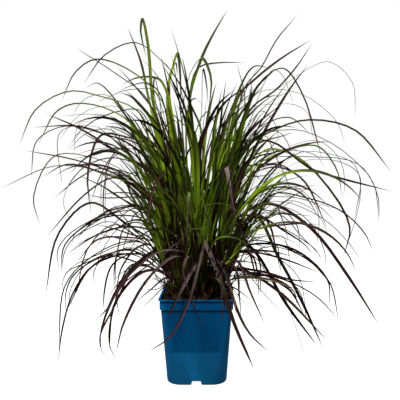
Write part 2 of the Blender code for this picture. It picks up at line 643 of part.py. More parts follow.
for old in list(bpy.data.objects):
    bpy.data.objects.remove(old, do_unlink=True)
model = bpy.data.collections.new("Potted fountain grass")
tools = bpy.data.collections.new("Cutters")
bpy.context.scene.collection.children.link(model)
bpy.context.scene.collection.children.link(tools)

build_pot()
build_soil()
all_shoots = hand_placed() + fanned(random.Random(SEED))
plant(all_shoots)
grow(all_shoots)
build_crown(all_shoots)
for place, one in enumerate(all_shoots):
    build_shoot(f"shoot_{place + 1:02d}", one)
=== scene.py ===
"""The looks of a clump of green and purple fountain grass in a blue square nursery pot."""

import math
import random

import bmesh
import bpy
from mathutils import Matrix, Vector
from mathutils.kdtree import KDTree


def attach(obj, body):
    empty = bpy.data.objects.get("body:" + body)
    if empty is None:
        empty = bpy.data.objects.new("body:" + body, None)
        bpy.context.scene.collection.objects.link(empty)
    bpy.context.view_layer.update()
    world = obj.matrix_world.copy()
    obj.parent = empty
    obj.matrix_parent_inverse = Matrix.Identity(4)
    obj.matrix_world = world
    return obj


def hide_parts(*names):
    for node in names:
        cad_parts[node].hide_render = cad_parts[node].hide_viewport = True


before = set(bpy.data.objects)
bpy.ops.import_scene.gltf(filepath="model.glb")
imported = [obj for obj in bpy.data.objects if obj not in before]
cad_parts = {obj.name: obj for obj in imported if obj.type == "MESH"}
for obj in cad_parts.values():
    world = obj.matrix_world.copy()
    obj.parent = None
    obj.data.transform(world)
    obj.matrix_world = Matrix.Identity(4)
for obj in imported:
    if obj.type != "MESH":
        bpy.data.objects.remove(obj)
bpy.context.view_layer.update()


# ---------------------------------------------------------------------------------- pot
# A square nursery pot of blue polypropylene, injection moulded in one piece. It tapers down
# to round corners, has a band and a thin lip at its rim, and stands on four pads with a
# cross-shaped drain channel between them.

MM = 0.001
POT_HEIGHT = 188 * MM
FOOT_HALF = 66 * MM
FOOT_CORNER = 32 * MM
FOOT_ROUNDING = 2.5 * MM
FOOT_SEGMENTS = 3
BODY_TOP_HALF = 77.2 * MM
BODY_TOP_CORNER = 11 * MM
BAND_HALF = 79.8 * MM
BAND_HEIGHT = 23 * MM
SHOULDER = 1.2 * MM
LIP_HALF = 82.5 * MM
LIP_CORNER = 9 * MM
LIP_THICKNESS = 2 * MM
LIP_EDGE = 0.5 * MM
LIP_SEGMENTS = 2
WALL = 1.8 * MM
CORNER_SEGMENTS = 10
CHANNEL_HEIGHT = 9 * MM
CHANNEL_FOOT_HALF = 12 * MM
CHANNEL_ROOF_HALF = 9 * MM
DRAIN_RADIUS = 4 * MM
DRAIN_SIDES = 24
DRAIN_SPACING = 38 * MM
DRAIN_PLACES = ((0, 0), (1, 0), (-1, 0), (0, 1), (0, -1))
SAME_HEIGHT = 0.1 * MM
SMOOTH_ANGLE = 30

POT_BLUE = (0.0, 0.036, 0.103, 1)
POT_CLOUDY = (0.0, 0.041, 0.114, 1)
# A lighter blue, painted in as a reflection of the pale table in front
POT_PAINTED_REFLECTION = (0.003, 0.072, 0.172, 1)
POT_PATCH = 50 * MM
POT_GRAIN = 1.2 * MM
POT_GRAIN_STRENGTH = 0.12
POT_GRAIN_DEPTH = 0.1 * MM
POT_ROUGHNESS = (0.3, 0.42)
# Painted reflection: the blue is lighter below a wavy line, where the pale table in front is
# reflected, and on the round corners.
REFLECTION_LINE = 74 * MM
REFLECTION_BLUR = 4 * MM
REFLECTION_WAVES = 3 * MM
LOW_REFLECTION = 0.9
CORNER_REFLECTION = 0.55
CORNER_BLUR = 6 * MM
# Blender's noise mostly stays between these two values.
NOISE_LOW = 0.3
NOISE_HIGH = 0.7
PATCH_DETAIL = 3
GRAIN_DETAIL = 5


def only(*pieces):
    """Select these pieces and nothing else. The first becomes the active one."""
    bpy.ops.object.select_all(action="DESELECT")
    for piece in pieces:
        piece.select_set(True)
    bpy.context.view_layer.objects.active = pieces[0]


def edit(piece):
    """Go into edit mode on one piece, with all of it selected."""
    only(piece)
    bpy.ops.object.mode_set(mode="EDIT")
    bpy.ops.mesh.select_all(action="SELECT")


def done():
    """Leave edit mode."""
    bpy.ops.object.mode_set(mode="OBJECT")


def pick(kind, test):
    """In edit mode, select only the verts, edges or faces whose middle passes the test."""
    bpy.ops.mesh.select_mode(type=kind[:-1].upper())
    bpy.ops.mesh.select_all(action="DESELECT")
    mesh = bpy.context.object.data
    bm = bmesh.from_edit_mesh(mesh)
    for part in getattr(bm, kind):
        corners = [part] if kind == "verts" else part.verts
        if test(sum((vert.co for vert in corners), Vector()) / len(corners)):
            part.select_set(True)
    bm.select_flush_mode()
    bmesh.update_edit_mesh(mesh)


def at_height(height):
    """A test for what lies at this height."""
    return lambda middle: abs(middle.z - height) < SAME_HEIGHT


def face_outwards():
    """In edit mode, turn all faces of a closed mesh outwards."""
    bpy.ops.mesh.select_all(action="SELECT")
    bpy.ops.mesh.normals_make_consistent(inside=False)


def rounded_square(half, corner, height):
    """A flat square with round corners at this height."""
    bpy.ops.object.select_all(action="DESELECT")
    bpy.ops.mesh.primitive_plane_add(size=2 * half, location=(0, 0, height))
    bpy.ops.object.transform_apply()
    square = bpy.context.object
    edit(square)
    bpy.ops.mesh.bevel(offset=corner, segments=CORNER_SEGMENTS, affect="VERTICES")
    done()
    return square


def step_out(rise, before, after, height):
    """Extrude the selected flat face up by rise, and widen it from one half width to another."""
    bpy.ops.mesh.extrude_region_move(TRANSFORM_OT_translate={"value": (0, 0, rise)})
    wider = after / before
    bpy.ops.transform.resize(value=(wider, wider, 1), center_override=(0, 0, height + rise))
    return height + rise


def tapered_block(name, foot, foot_corner, foot_height, top, top_corner):
    """A closed block between two rounded squares, with a rounded lower edge.

    It is left in edit mode, with its top face selected.
    """
    body_top = POT_HEIGHT - BAND_HEIGHT
    upper = rounded_square(top, top_corner, body_top)
    lower = rounded_square(foot, foot_corner, foot_height)
    only(lower, upper)
    bpy.ops.object.join()
    lower.name = name
    edit(lower)
    bpy.ops.mesh.delete(type="ONLY_FACE")
    bpy.ops.mesh.select_all(action="SELECT")
    bpy.ops.mesh.bridge_edge_loops()
    for height in (foot_height, body_top):
        pick("verts", at_height(height))
        bpy.ops.mesh.edge_face_add()
    pick("edges", at_height(foot_height))
    bpy.ops.mesh.bevel(offset=FOOT_ROUNDING, segments=FOOT_SEGMENTS, affect="EDGES")
    face_outwards()
    pick("faces", at_height(body_top))
    return lower


def channel_bar(turn, grow):
    """A bar with sloping sides across the foot, wider and higher all round by grow."""
    bpy.ops.object.select_all(action="DESELECT")
    bpy.ops.mesh.primitive_cube_add(size=2)
    bar = bpy.context.object
    half, roof = CHANNEL_FOOT_HALF + grow, CHANNEL_HEIGHT + grow
    edit(bar)
    bpy.ops.transform.resize(value=(half, 2 * FOOT_HALF, roof))
    slope = (CHANNEL_FOOT_HALF - CHANNEL_ROOF_HALF) / half
    for side in (1, -1):
        pick("faces", lambda middle: middle.z * side > 0.9 * roof)
        bpy.ops.transform.resize(value=(1 - side * slope, 1, 1))
    done()
    bar.rotation_euler.z = turn
    return bar


def cut(piece, tool):
    """Cut a tool out of a piece, and remove the tool."""
    only(piece)
    change = piece.modifiers.new("cut", "BOOLEAN")
    change.operation = "DIFFERENCE"
    change.solver = "EXACT"
    change.object = tool
    bpy.ops.object.modifier_apply(modifier=change.name)
    bpy.data.objects.remove(tool, do_unlink=True)


def smooth(piece, degrees=SMOOTH_ANGLE):
    """Shade a piece smooth, except over edges that are sharper than this."""
    only(piece)
    bpy.ops.object.shade_smooth_by_angle(angle=math.radians(degrees))


def coat(piece, material):
    """Give a piece one material all over."""
    piece.data.materials.clear()
    piece.data.materials.append(material)


def node(tree, kind, values=None, **settings):
    """Add a shader node, set its settings, and set or link its inputs."""
    made = tree.nodes.new(kind)
    for name, value in settings.items():
        setattr(made, name, value)
    for name, value in (values or {}).items():
        if isinstance(value, bpy.types.NodeSocket):
            tree.links.new(value, made.inputs[name])
        else:
            made.inputs[name].default_value = value
    return made


def calc(tree, operation, *values):
    """Do a sum with values or sockets, and give the result's socket."""
    return node(tree, "ShaderNodeMath", dict(enumerate(values)), operation=operation).outputs[0]


def spread(tree, value, low, high, to_low=0, to_high=1, way="LINEAR"):
    """Spread a value from one range to another, and give the result's socket."""
    return node(tree, "ShaderNodeMapRange",
                {"Value": value, "From Min": low, "From Max": high, "To Min": to_low,
                 "To Max": to_high}, interpolation_type=way).outputs["Result"]


def cloudy(tree, place, scale, detail):
    """Soft noise that reaches from 0 to 1."""
    noise = node(tree, "ShaderNodeTexNoise", {"Vector": place, "Scale": scale, "Detail": detail})
    return spread(tree, noise.outputs["Fac"], NOISE_LOW, NOISE_HIGH)


def mix_colors(tree, share, first, second, way="MIX"):
    """Mix two colours, each a fixed colour or a socket, and give the result's socket."""
    values = {0: share, 6: first, 7: second}
    return node(tree, "ShaderNodeMix", values, data_type="RGBA", blend_type=way).outputs[2]


def relief(tree, pattern, strength, depth):
    """A pattern raised a little from the surface, as a socket for a shader's Normal."""
    return node(tree, "ShaderNodeBump", {"Height": pattern, "Strength": strength,
                                         "Distance": depth}).outputs["Normal"]


def wire(end, **sockets):
    """Link each socket to the input that its name says, with _ for a space."""
    for name, socket in sockets.items():
        end.id_data.links.new(socket, end.inputs[name.replace("_", " ")])


def start_material(name, **values):
    """A new material with a Principled shader, and that shader's fixed values."""
    made = bpy.data.materials.new(name)
    made.use_nodes = True
    shader = made.node_tree.nodes["Principled BSDF"]
    for socket, value in values.items():
        shader.inputs[socket.replace("_", " ")].default_value = value
    return made, made.node_tree, shader


def start_group(name, takes, gives):
    """A new node group, with its input and output nodes. What it takes first is a vector."""
    group = bpy.data.node_groups.new(name, "ShaderNodeTree")
    for way, sockets in (("INPUT", takes), ("OUTPUT", gives)):
        for socket in sockets:
            kind = "NodeSocketVector" if socket == takes[0] else "NodeSocketFloat"
            group.interface.new_socket(socket, in_out=way, socket_type=kind)
    return group, node(group, "NodeGroupInput"), node(group, "NodeGroupOutput")


def build_mottle_group():
    """Shared by several materials: soft patches and fine grain, each from 0 to 1."""
    group, given, result = start_group("Mottle and grain", ("Vector", "Patch Size", "Grain Size"),
                                       ("Patches", "Grain"))
    place = given.outputs["Vector"]
    coarse, fine = (calc(group, "DIVIDE", 1, given.outputs[size])
                    for size in ("Patch Size", "Grain Size"))
    wire(result, Patches=cloudy(group, place, coarse, PATCH_DETAIL),
         Grain=cloudy(group, place, fine, GRAIN_DETAIL))
    return group


mottle = build_mottle_group()


def mottled(tree, patch, grain):
    """The sockets of the patches and the grain of these sizes, fixed to the object."""
    place = node(tree, "ShaderNodeTexCoord").outputs["Object"]
    marks = node(tree, "ShaderNodeGroup", {"Vector": place, "Patch Size": patch,
                                           "Grain Size": grain}, node_tree=mottle)
    return marks.outputs["Patches"], marks.outputs["Grain"]


pot = tapered_block("Pot", FOOT_HALF, FOOT_CORNER, 0, BODY_TOP_HALF, BODY_TOP_CORNER)
top = POT_HEIGHT - BAND_HEIGHT
top = step_out(SHOULDER, BODY_TOP_HALF, BAND_HALF, top)
top = step_out(POT_HEIGHT - LIP_THICKNESS - top, BAND_HALF, BAND_HALF, top)
top = step_out(0, BAND_HALF, LIP_HALF, top)
step_out(LIP_THICKNESS, LIP_HALF, LIP_HALF, top)
bpy.ops.mesh.bevel(offset=LIP_EDGE, segments=LIP_SEGMENTS, affect="EDGES")
done()
cavity = tapered_block("Pot cavity", FOOT_HALF - WALL, FOOT_CORNER - WALL, WALL,
                       BODY_TOP_HALF - WALL, LIP_CORNER)
inner_top = POT_HEIGHT - BAND_HEIGHT
inner_top = step_out(SHOULDER, BODY_TOP_HALF - WALL, BAND_HALF - WALL, inner_top)
step_out(BAND_HEIGHT, BAND_HALF - WALL, BAND_HALF - WALL, inner_top)
done()
for turn in (0, math.radians(90)):
    cut(pot, channel_bar(turn, 0))
    cut(cavity, channel_bar(turn, WALL))
cut(pot, cavity)
for x, y in DRAIN_PLACES:
    bpy.ops.object.select_all(action="DESELECT")
    bpy.ops.mesh.primitive_cylinder_add(vertices=DRAIN_SIDES, radius=DRAIN_RADIUS, depth=8 * WALL,
                                        location=(x * DRAIN_SPACING, y * DRAIN_SPACING,
                                                  CHANNEL_HEIGHT))
    cut(pot, bpy.context.object)
smooth(pot)

blue, tree, shader = start_material("Blue polypropylene", Specular_IOR_Level=0.03)
patches, grain = mottled(tree, POT_PATCH, POT_GRAIN)
place = node(tree, "ShaderNodeTexCoord").outputs["Object"]
spot = node(tree, "ShaderNodeSeparateXYZ", {0: place}).outputs
# Painted reflection: lighter below a wavy line low on the pot, and on the round corners
wavy = calc(tree, "MULTIPLY_ADD", patches, REFLECTION_WAVES, spot["Z"])
low_reflection = spread(tree, wavy, REFLECTION_LINE + REFLECTION_BLUR, REFLECTION_LINE - REFLECTION_BLUR, 0, LOW_REFLECTION,
                  "SMOOTHSTEP")
nearer = calc(tree, "MINIMUM", *(calc(tree, "ABSOLUTE", spot[axis]) for axis in "XY"))
corner_starts = spread(tree, spot["Z"], 0, POT_HEIGHT - BAND_HEIGHT, FOOT_HALF - FOOT_CORNER,
                       BODY_TOP_HALF - LIP_CORNER)
past = calc(tree, "SUBTRACT", nearer, corner_starts)
corner_reflection = spread(tree, past, -CORNER_BLUR, CORNER_BLUR, 0, CORNER_REFLECTION, "SMOOTHSTEP")
painted_reflection = calc(tree, "MAXIMUM", low_reflection, corner_reflection)
plastic = mix_colors(tree, patches, POT_BLUE, POT_CLOUDY)
wire(shader, Base_Color=mix_colors(tree, painted_reflection, plastic, POT_PAINTED_REFLECTION),
     Roughness=spread(tree, patches, 0, 1, *POT_ROUGHNESS),
     Normal=relief(tree, grain, POT_GRAIN_STRENGTH, POT_GRAIN_DEPTH))
coat(pot, blue)
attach(pot, "root")
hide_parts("pot")


# --------------------------------------------------------------------------------- soil
# Dark potting mix of peat and bark. It fills the pot to just under the rim, and its top is
# an uneven layer of crumbs, with chips of bark lying on it.

SOIL_TOP = 175 * MM
SOIL_HALF = 77.3 * MM
SOIL_COLORS = ((0.004, 0.0025, 0.0015, 1), (0.013, 0.008, 0.005, 1))
SOIL_PATCH = 12 * MM
SOIL_GRAIN = 2 * MM
SOIL_GRAIN_STRENGTH = 0.8
SOIL_GRAIN_DEPTH = 1.5 * MM
SOIL_SMOOTH_ANGLE = 40
CRUMB_ROWS = 90
CRUMB_SIZE = 9 * MM
CRUMB_DETAIL = 4
CRUMB_HEIGHT = 7 * MM
CRUMB_LEVEL = 0.35
LAYER_ABOVE = 4 * MM
LAYER_BELOW = 3 * MM
CHIP_COUNT = 260
CHIP_SEED = 11
CHIP_ROUGHNESS = 0.12
CHIP_SPREAD = 0.93
# How high a chip lies and how long it is, in mm, and then shares of its length
CHIP_LIFTS = (0, 3)
CHIP_LENGTHS = (2, 8)
CHIP_WIDTHS = (0.3, 0.7)
CHIP_THICKNESSES = (0.15, 0.4)


def roughen(piece, size, detail, height, level, way="NORMAL"):
    """Push a surface in and out in lumps of this size, about a level from 0 to 1."""
    noise = bpy.data.textures.new("Lumps", "CLOUDS")
    noise.noise_scale = size
    noise.noise_depth = detail
    lumps = piece.modifiers.new("Lumps", "DISPLACE")
    lumps.texture = noise
    lumps.texture_coords = "LOCAL"
    lumps.direction = way
    lumps.strength = height
    lumps.mid_level = level
    only(piece)
    bpy.ops.object.modifier_apply(modifier=lumps.name)


def wobble(dice, most):
    """A chance amount, up to this much either way."""
    return dice.uniform(-most, most)


mix, tree, shader = start_material("Potting mix", Roughness=0.95, Specular_IOR_Level=0.05)
patches, grain = mottled(tree, SOIL_PATCH, SOIL_GRAIN)
both = calc(tree, "MULTIPLY", patches, grain)
wire(shader, Base_Color=mix_colors(tree, both, *SOIL_COLORS),
     Normal=relief(tree, grain, SOIL_GRAIN_STRENGTH, SOIL_GRAIN_DEPTH))
coat(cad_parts["soil"], mix)

bpy.ops.object.select_all(action="DESELECT")
bpy.ops.mesh.primitive_grid_add(x_subdivisions=CRUMB_ROWS, y_subdivisions=CRUMB_ROWS,
                                size=2 * SOIL_HALF, location=(0, 0, SOIL_TOP))
bpy.ops.object.transform_apply()
crumbs = bpy.context.object
crumbs.name = "Soil_crumbs"
corner_centre = SOIL_HALF - LIP_CORNER
for vert in crumbs.data.vertices:
    corner = Vector((abs(vert.co.x) - corner_centre, abs(vert.co.y) - corner_centre))
    if min(corner) > 0 and corner.length > LIP_CORNER:
        corner *= LIP_CORNER / corner.length
        vert.co.x = math.copysign(corner_centre + corner.x, vert.co.x)
        vert.co.y = math.copysign(corner_centre + corner.y, vert.co.y)
roughen(crumbs, CRUMB_SIZE, CRUMB_DETAIL, CRUMB_HEIGHT, CRUMB_LEVEL, "Z")
edit(crumbs)
bpy.ops.mesh.extrude_region_move(TRANSFORM_OT_translate={"value": (0, 0, LAYER_ABOVE)})
done()
for vert in crumbs.data.vertices:
    if not vert.select:
        vert.co.z = SOIL_TOP - LAYER_BELOW
edit(crumbs)
face_outwards()
done()

bpy.ops.object.select_all(action="DESELECT")
bpy.ops.mesh.primitive_ico_sphere_add(subdivisions=1, radius=0.5)
chip = bpy.context.object
edit(chip)
bpy.ops.transform.vertex_random(offset=CHIP_ROUGHNESS, seed=3)
done()
dice = random.Random(CHIP_SEED)
chips = []
for number in range(CHIP_COUNT):
    copy = chip.copy()
    copy.data = chip.data.copy()
    bpy.context.collection.objects.link(copy)
    copy.location = (wobble(dice, CHIP_SPREAD) * SOIL_HALF, wobble(dice, CHIP_SPREAD) * SOIL_HALF,
                     SOIL_TOP + dice.uniform(*CHIP_LIFTS) * MM)
    copy.rotation_euler = [dice.uniform(0, 2 * math.pi) for axis in range(3)]
    length = dice.uniform(*CHIP_LENGTHS) * MM
    copy.scale = (length, length * dice.uniform(*CHIP_WIDTHS),
                  length * dice.uniform(*CHIP_THICKNESSES))
    chips.append(copy)
only(*chips)
bpy.ops.object.transform_apply()
bpy.data.objects.remove(chip, do_unlink=True)
only(crumbs, *chips)
bpy.ops.object.join()
coat(crumbs, mix)
smooth(crumbs, SOIL_SMOOTH_ANGLE)
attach(crumbs, "root")


# --------------------------------------------------------------------------- leaf tissue
# Everything that grows has the same finish: fine veins along it, satin, green turning
# purple, and straw-brown where it has died. Each vertex's tint holds how purple and how dry
# it is, a chance value of its leaf and, as its alpha, how strong its painted sheen is: a
# pale painted highlight on the tops of the dark leaves.

GREEN_DEEP = (0.015, 0.031, 0.001, 1)
GREEN_BRIGHT = (0.122, 0.19, 0.006, 1)
GREEN_RIB = (0.18, 0.22, 0.015, 1)
PURPLE_DEEP = (0.003, 0.0005, 0.0006, 1)
PURPLE_LIGHT = (0.0178, 0.0039, 0.0043, 1)
STRAW_DEEP = (0.036, 0.017, 0.006, 1)
STRAW_LIGHT = (0.21, 0.135, 0.057, 1)
# The pale mauve of the painted sheen, where dark leaves face the light
PAINTED_SHEEN = (0.15, 0.11, 0.104, 1)
VEINS_ACROSS = 11
VEIN_SHADES = (0.82, 1.1)
VEIN_STRENGTH = 0.35
VEIN_DEPTH = 0.15 * MM
STREAKS_ACROSS = 4
STREAKS_ALONG = 3
STREAK_SHIFT = 40
STREAK_DETAIL = 3
RIB_EDGE = 0.09
RIB_CORE = 0.02
RIB_SHARE = 0.5
LEAF_ROUGHNESS = (0.45, 0.6)
# How light a leaf is comes partly from its chance value, and partly from its streaks.
CHANCE_LIGHT = 0.6
STREAK_LIGHT = 0.4
# Green is at its brightest up to the first share of a leaf's length, and deep from the second.
BRIGHT_TO = 0.38
DEEP_FROM = 0.74
# Green turns purple between these two values, in streaks.
TURNS_FROM = 0.25
TURNS_TO = 0.75
TURNING_STREAKS = 0.5


def build_vein_group():
    """Fine ribs side by side and long faint streaks, all running along a leaf's UV map."""
    group, given, result = start_group("Veins and streaks", ("UV", "Veins Across", "Offset"),
                                       ("Veins", "Streaks", "Midrib", "Along"))
    uv = node(group, "ShaderNodeSeparateXYZ", {0: given.outputs["UV"]}).outputs
    turns = calc(group, "MULTIPLY", given.outputs["Veins Across"], 2 * math.pi)
    wave = calc(group, "SINE", calc(group, "MULTIPLY", uv["X"], turns))
    stretched = node(group, "ShaderNodeCombineXYZ",
                     {"X": calc(group, "MULTIPLY", uv["X"], STREAKS_ACROSS),
                      "Y": calc(group, "MULTIPLY", uv["Y"], STREAKS_ALONG),
                      "Z": calc(group, "MULTIPLY", given.outputs["Offset"], STREAK_SHIFT)})
    off_middle = calc(group, "ABSOLUTE", calc(group, "SUBTRACT", uv["X"], 0.5))
    wire(result, Veins=spread(group, wave, -1, 1),
         Streaks=cloudy(group, stretched.outputs[0], 1, STREAK_DETAIL),
         Midrib=spread(group, off_middle, RIB_EDGE, RIB_CORE), Along=uv["Y"])
    return group


leaf, tree, shader = start_material("Grass leaf", Specular_IOR_Level=0.06)
tint = node(tree, "ShaderNodeAttribute", attribute_name="tint").outputs
tinted = node(tree, "ShaderNodeSeparateColor", {0: tint["Color"]})
purple, dry, chance = (tinted.outputs[name] for name in ("Red", "Green", "Blue"))
uv = node(tree, "ShaderNodeUVMap", uv_map="UVMap").outputs["UV"]
marks = node(tree, "ShaderNodeGroup", {"UV": uv, "Veins Across": VEINS_ACROSS, "Offset": chance},
             node_tree=build_vein_group()).outputs
lightness = calc(tree, "MULTIPLY_ADD", marks["Streaks"], STREAK_LIGHT,
                 calc(tree, "MULTIPLY", chance, CHANCE_LIGHT))
young = spread(tree, marks["Along"], BRIGHT_TO, DEEP_FROM, 1, 0, "SMOOTHSTEP")
green = mix_colors(tree, calc(tree, "MULTIPLY", lightness, young), GREEN_DEEP, GREEN_BRIGHT)
rib = calc(tree, "MULTIPLY", calc(tree, "MULTIPLY", marks["Midrib"], young), RIB_SHARE)
green = mix_colors(tree, rib, green, GREEN_RIB)
dark = mix_colors(tree, lightness, PURPLE_DEEP, PURPLE_LIGHT)
# Painted sheen: the tint's alpha mixes a pale mauve highlight into the dark leaves
dark = mix_colors(tree, tint["Alpha"], dark, PAINTED_SHEEN)
straw = mix_colors(tree, lightness, STRAW_DEEP, STRAW_LIGHT)
streaky = calc(tree, "MULTIPLY_ADD", calc(tree, "SUBTRACT", marks["Streaks"], 0.5),
               TURNING_STREAKS, purple)
turned = spread(tree, streaky, TURNS_FROM, TURNS_TO, 0, 1, "SMOOTHSTEP")
living = mix_colors(tree, turned, green, dark)
whole = mix_colors(tree, dry, living, straw)
shades = spread(tree, marks["Veins"], 0, 1, *VEIN_SHADES)
wire(shader, Base_Color=mix_colors(tree, 1, whole, shades, "MULTIPLY"),
     Roughness=spread(tree, lightness, 0, 1, *LEAF_ROUGHNESS),
     Normal=relief(tree, marks["Veins"], VEIN_STRENGTH, VEIN_DEPTH))


# ------------------------------------------------------------------------ leaf and stem
# A grass leaf is a long keeled blade: folded along its midrib, widest in its lower third,
# and drawn out to a hair-fine tip. A stem is a thin tube of leaf sheaths rolled round each
# other. Each is made once, straight and one unit long, and copies are bent to their places.

BLADE_STEPS = 20
FINE_STEPS = 13
STEM_STEPS = 8
STEM_SIDES = 7
FOLD_TOP = 0.17
FOLD_UNDER = 0.23


def map_straight(piece):
    """A UV map that runs across the piece in U, and along it in V."""
    layer = piece.data.uv_layers.active or piece.data.uv_layers.new()
    layer.name = "UVMap"
    for loop in piece.data.loops:
        spot = piece.data.vertices[loop.vertex_index].co
        layer.data[loop.index].uv = (0.5 + spot.x, spot.z)


def make_blank(name, sides, steps):
    """A straight closed prism, one unit long and one unit wide, cut into steps."""
    bpy.ops.object.select_all(action="DESELECT")
    bpy.ops.mesh.primitive_cylinder_add(vertices=sides, radius=0.5, depth=1,
                                        location=(0, 0, 0.5))
    bpy.ops.object.transform_apply()
    blank = bpy.context.object
    blank.name = name
    edit(blank)
    pick("edges", lambda middle: 0.1 < middle.z < 0.9)
    bpy.ops.mesh.subdivide(number_cuts=steps - 1)
    done()
    blank["steps"] = steps
    return blank


def fold(blank):
    """Fold a four-sided prism to a keeled V, and draw its end together to a point."""
    edit(blank)
    pick("verts", lambda middle: middle.y < -0.25)
    bpy.ops.transform.translate(value=(0, 0.5 + FOLD_TOP, 0))
    pick("verts", lambda middle: middle.y > 0.25)
    bpy.ops.transform.translate(value=(0, FOLD_UNDER - 0.5, 0))
    pick("verts", lambda middle: middle.z > 0.999)
    bpy.ops.mesh.merge(type="CENTER")
    done()


wide_leaf = make_blank("Wide leaf", 4, BLADE_STEPS)
fine_leaf = make_blank("Fine leaf", 4, FINE_STEPS)
stem_blank = make_blank("Stem", STEM_SIDES, STEM_STEPS)
fold(wide_leaf)
fold(fine_leaf)
for blank in (wide_leaf, fine_leaf, stem_blank):
    map_straight(blank)
    coat(blank, leaf)
    blank.data.attributes.new("tint", "FLOAT_COLOR", "POINT")


# -------------------------------------------------------------------------------- crown
# The crown is a low mound of old growth: roots and soil bound together, with the brown
# stubs and torn sheaths of dead leaves standing close between the living stems.

CROWN_RADIUS = 66 * MM
CROWN_HEIGHT = 25 * MM
CROWN_SEED = 21
CROWN_TINT = (0.9, 0.2, 0.1, 0)
TUFT_SIZE = 6 * MM
TUFT_DETAIL = 3
TUFT_HEIGHT = 5 * MM
TUFT_LEVEL = 0.8
# Lengths and widths in mm. A stub is one of the short or one of the long ones.
STUB_COUNT = 240
STUB_LENGTHS = ((12, 55), (50, 120))
STUB_WIDTHS = (2, 5)
STUB_NARROWING = 0.7
STUB_SPREAD = 0.93
STUB_EDGE = 0.95
STUB_ROOT = 6 * MM
STUB_LEANS = (0.1, 0.9)
STUB_BEND = 0.15
STUB_TWIST = 40
STUB_PURPLE = (1.0, 0.9, 0.7)
STUB_DRYNESS = (0.0, 0.15, 0.35)
WISP_COUNT = 110
WISP_STARTS = (0.4, 1.0)
WISP_LIFT = 1 * MM
WISP_ASIDE = 25
WISP_AHEAD = (2, 14)
WISP_ENDS = (3, 9)
WISP_ARCHES = (4, 16)
WISP_WIDTHS = (0.6, 2.4)
WISP_LEAST_WIDTH = 0.2 * MM
WISP_TWIST = 90
WISP_PURPLE = (1.0, 1.0, 1.0)
WISP_DRYNESS = (0.1, 0.5)
RIM_CLEARANCE = 4 * MM
CURVE_STEPS = 10
# The whole length counts for as many steps as a bend of this many radians.
BEND_WORTH = 5
# How far along a leaf its second purple value stands, between its foot's and its tip's
TURNING = 0.35
# The painted sheen is palest where a leaf is highest, and wears off towards both its ends.
PAINTED_SHEEN_LOSS = 0.45
PAINTED_SHEEN_POWER = 6


def spaced(curve, steps):
    """The same curve in this many steps, shorter ones where it bends."""
    legs = [q - p for p, q in zip(curve, curve[1:])]
    length = sum(leg.length for leg in legs)
    worth = [0.0]
    for before, leg_now in zip([legs[0], *legs], legs):
        worth.append(worth[-1] + leg_now.length / length + before.angle(leg_now, 0) / BEND_WORTH)
    spots = []
    place = 0
    for step in range(steps + 1):
        mark = worth[-1] * step / steps
        while place < len(legs) - 1 and worth[place + 1] < mark:
            place += 1
        share = (mark - worth[place]) / max(worth[place + 1] - worth[place], 1e-9)
        spots.append(curve[place].lerp(curve[place + 1], min(1, share)))
    return spots


def bend_copy(blank, curve, breadth, roll, twist, tint):
    """A copy of a blank, bent onto a curve.

    breadth gives its width at a share of its length, roll and twist are in degrees, and
    tint is how purple it is at its foot, where it has turned and at its tip, how dry, how
    strong its painted sheen is, and a chance value.
    """
    mesh = blank.data.copy()
    steps = blank["steps"]
    spots = spaced(curve, steps)
    reached = [0.0]
    for p, q in zip(spots, spots[1:]):
        reached.append(reached[-1] + (q - p).length)
    run = spots[-1] - spots[0]
    level = Vector((-run.y, run.x, 0))
    level = level.normalized() if level.length > 1 * MM else Vector((1, 0, 0))
    frames = []
    for i in range(steps + 1):
        along = (spots[min(i + 1, steps)] - spots[max(i - 1, 0)]).normalized()
        side = (level - along * level.dot(along)).normalized()
        under = side.cross(along)
        turn = math.radians(roll + twist * i / steps)
        frames.append((side * math.cos(turn) + under * math.sin(turn),
                       under * math.cos(turn) - side * math.sin(turn)))
    foot_purple, turned_purple, tip_purple, dryness, painted_sheen, chance = tint
    highest = max(range(1, steps + 1), key=lambda i: spots[i].z)
    tints = mesh.attributes["tint"].data
    for vert in mesh.vertices:
        i = round(vert.co.z * steps)
        share = reached[i] / reached[-1]
        side, under = frames[i]
        wide = breadth(share)
        if share < TURNING:
            purple = foot_purple + (turned_purple - foot_purple) * share / TURNING
        else:
            purple = turned_purple + ((tip_purple - turned_purple) * (share - TURNING)
                                      / (1 - TURNING))
        # Painted sheen: palest where the leaf is highest, towards the light above
        sheen_here = max(0, painted_sheen * (1 - share) - PAINTED_SHEEN_LOSS)
        sheen_here *= min(1, reached[i] / reached[highest]) ** PAINTED_SHEEN_POWER
        tints[vert.index].color = (purple, dryness, chance, sheen_here)
        vert.co = spots[i] + side * vert.co.x * wide + under * vert.co.y * wide
    copy = bpy.data.objects.new(blank.name, mesh)
    bpy.context.scene.collection.objects.link(copy)
    return copy


def smooth_curve(points):
    """A smooth curve through the points, with its corners rounded by their distances."""
    ends = [2 * points[0] - points[1], *points, 2 * points[-1] - points[-2]]
    curve = [points[0]]
    for a, b, c, d in zip(ends, ends[1:], ends[2:], ends[3:]):
        near, span, far = ((q - p).length ** 0.5 for p, q in ((a, b), (b, c), (c, d)))
        start = ((b - a) / near - (c - a) / (near + span) + (c - b) / span) * span
        stop = ((c - b) / span - (d - b) / (span + far) + (d - c) / far) * span
        for step in range(1, CURVE_STEPS + 1):
            t = step / CURVE_STEPS
            curve.append((2 * t ** 3 - 3 * t ** 2 + 1) * b + (t ** 3 - 2 * t ** 2 + t) * start
                         + (3 * t ** 2 - 2 * t ** 3) * c + (t ** 3 - t ** 2) * stop)
    return curve


def join_as(name, copies, replaced):
    """Join copies into one piece of the object, in place of a CAD node."""
    only(*copies)
    bpy.ops.object.join()
    piece = bpy.context.object
    piece.name = name
    piece.data.name = name
    smooth(piece)
    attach(piece, "root")
    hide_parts(replaced)


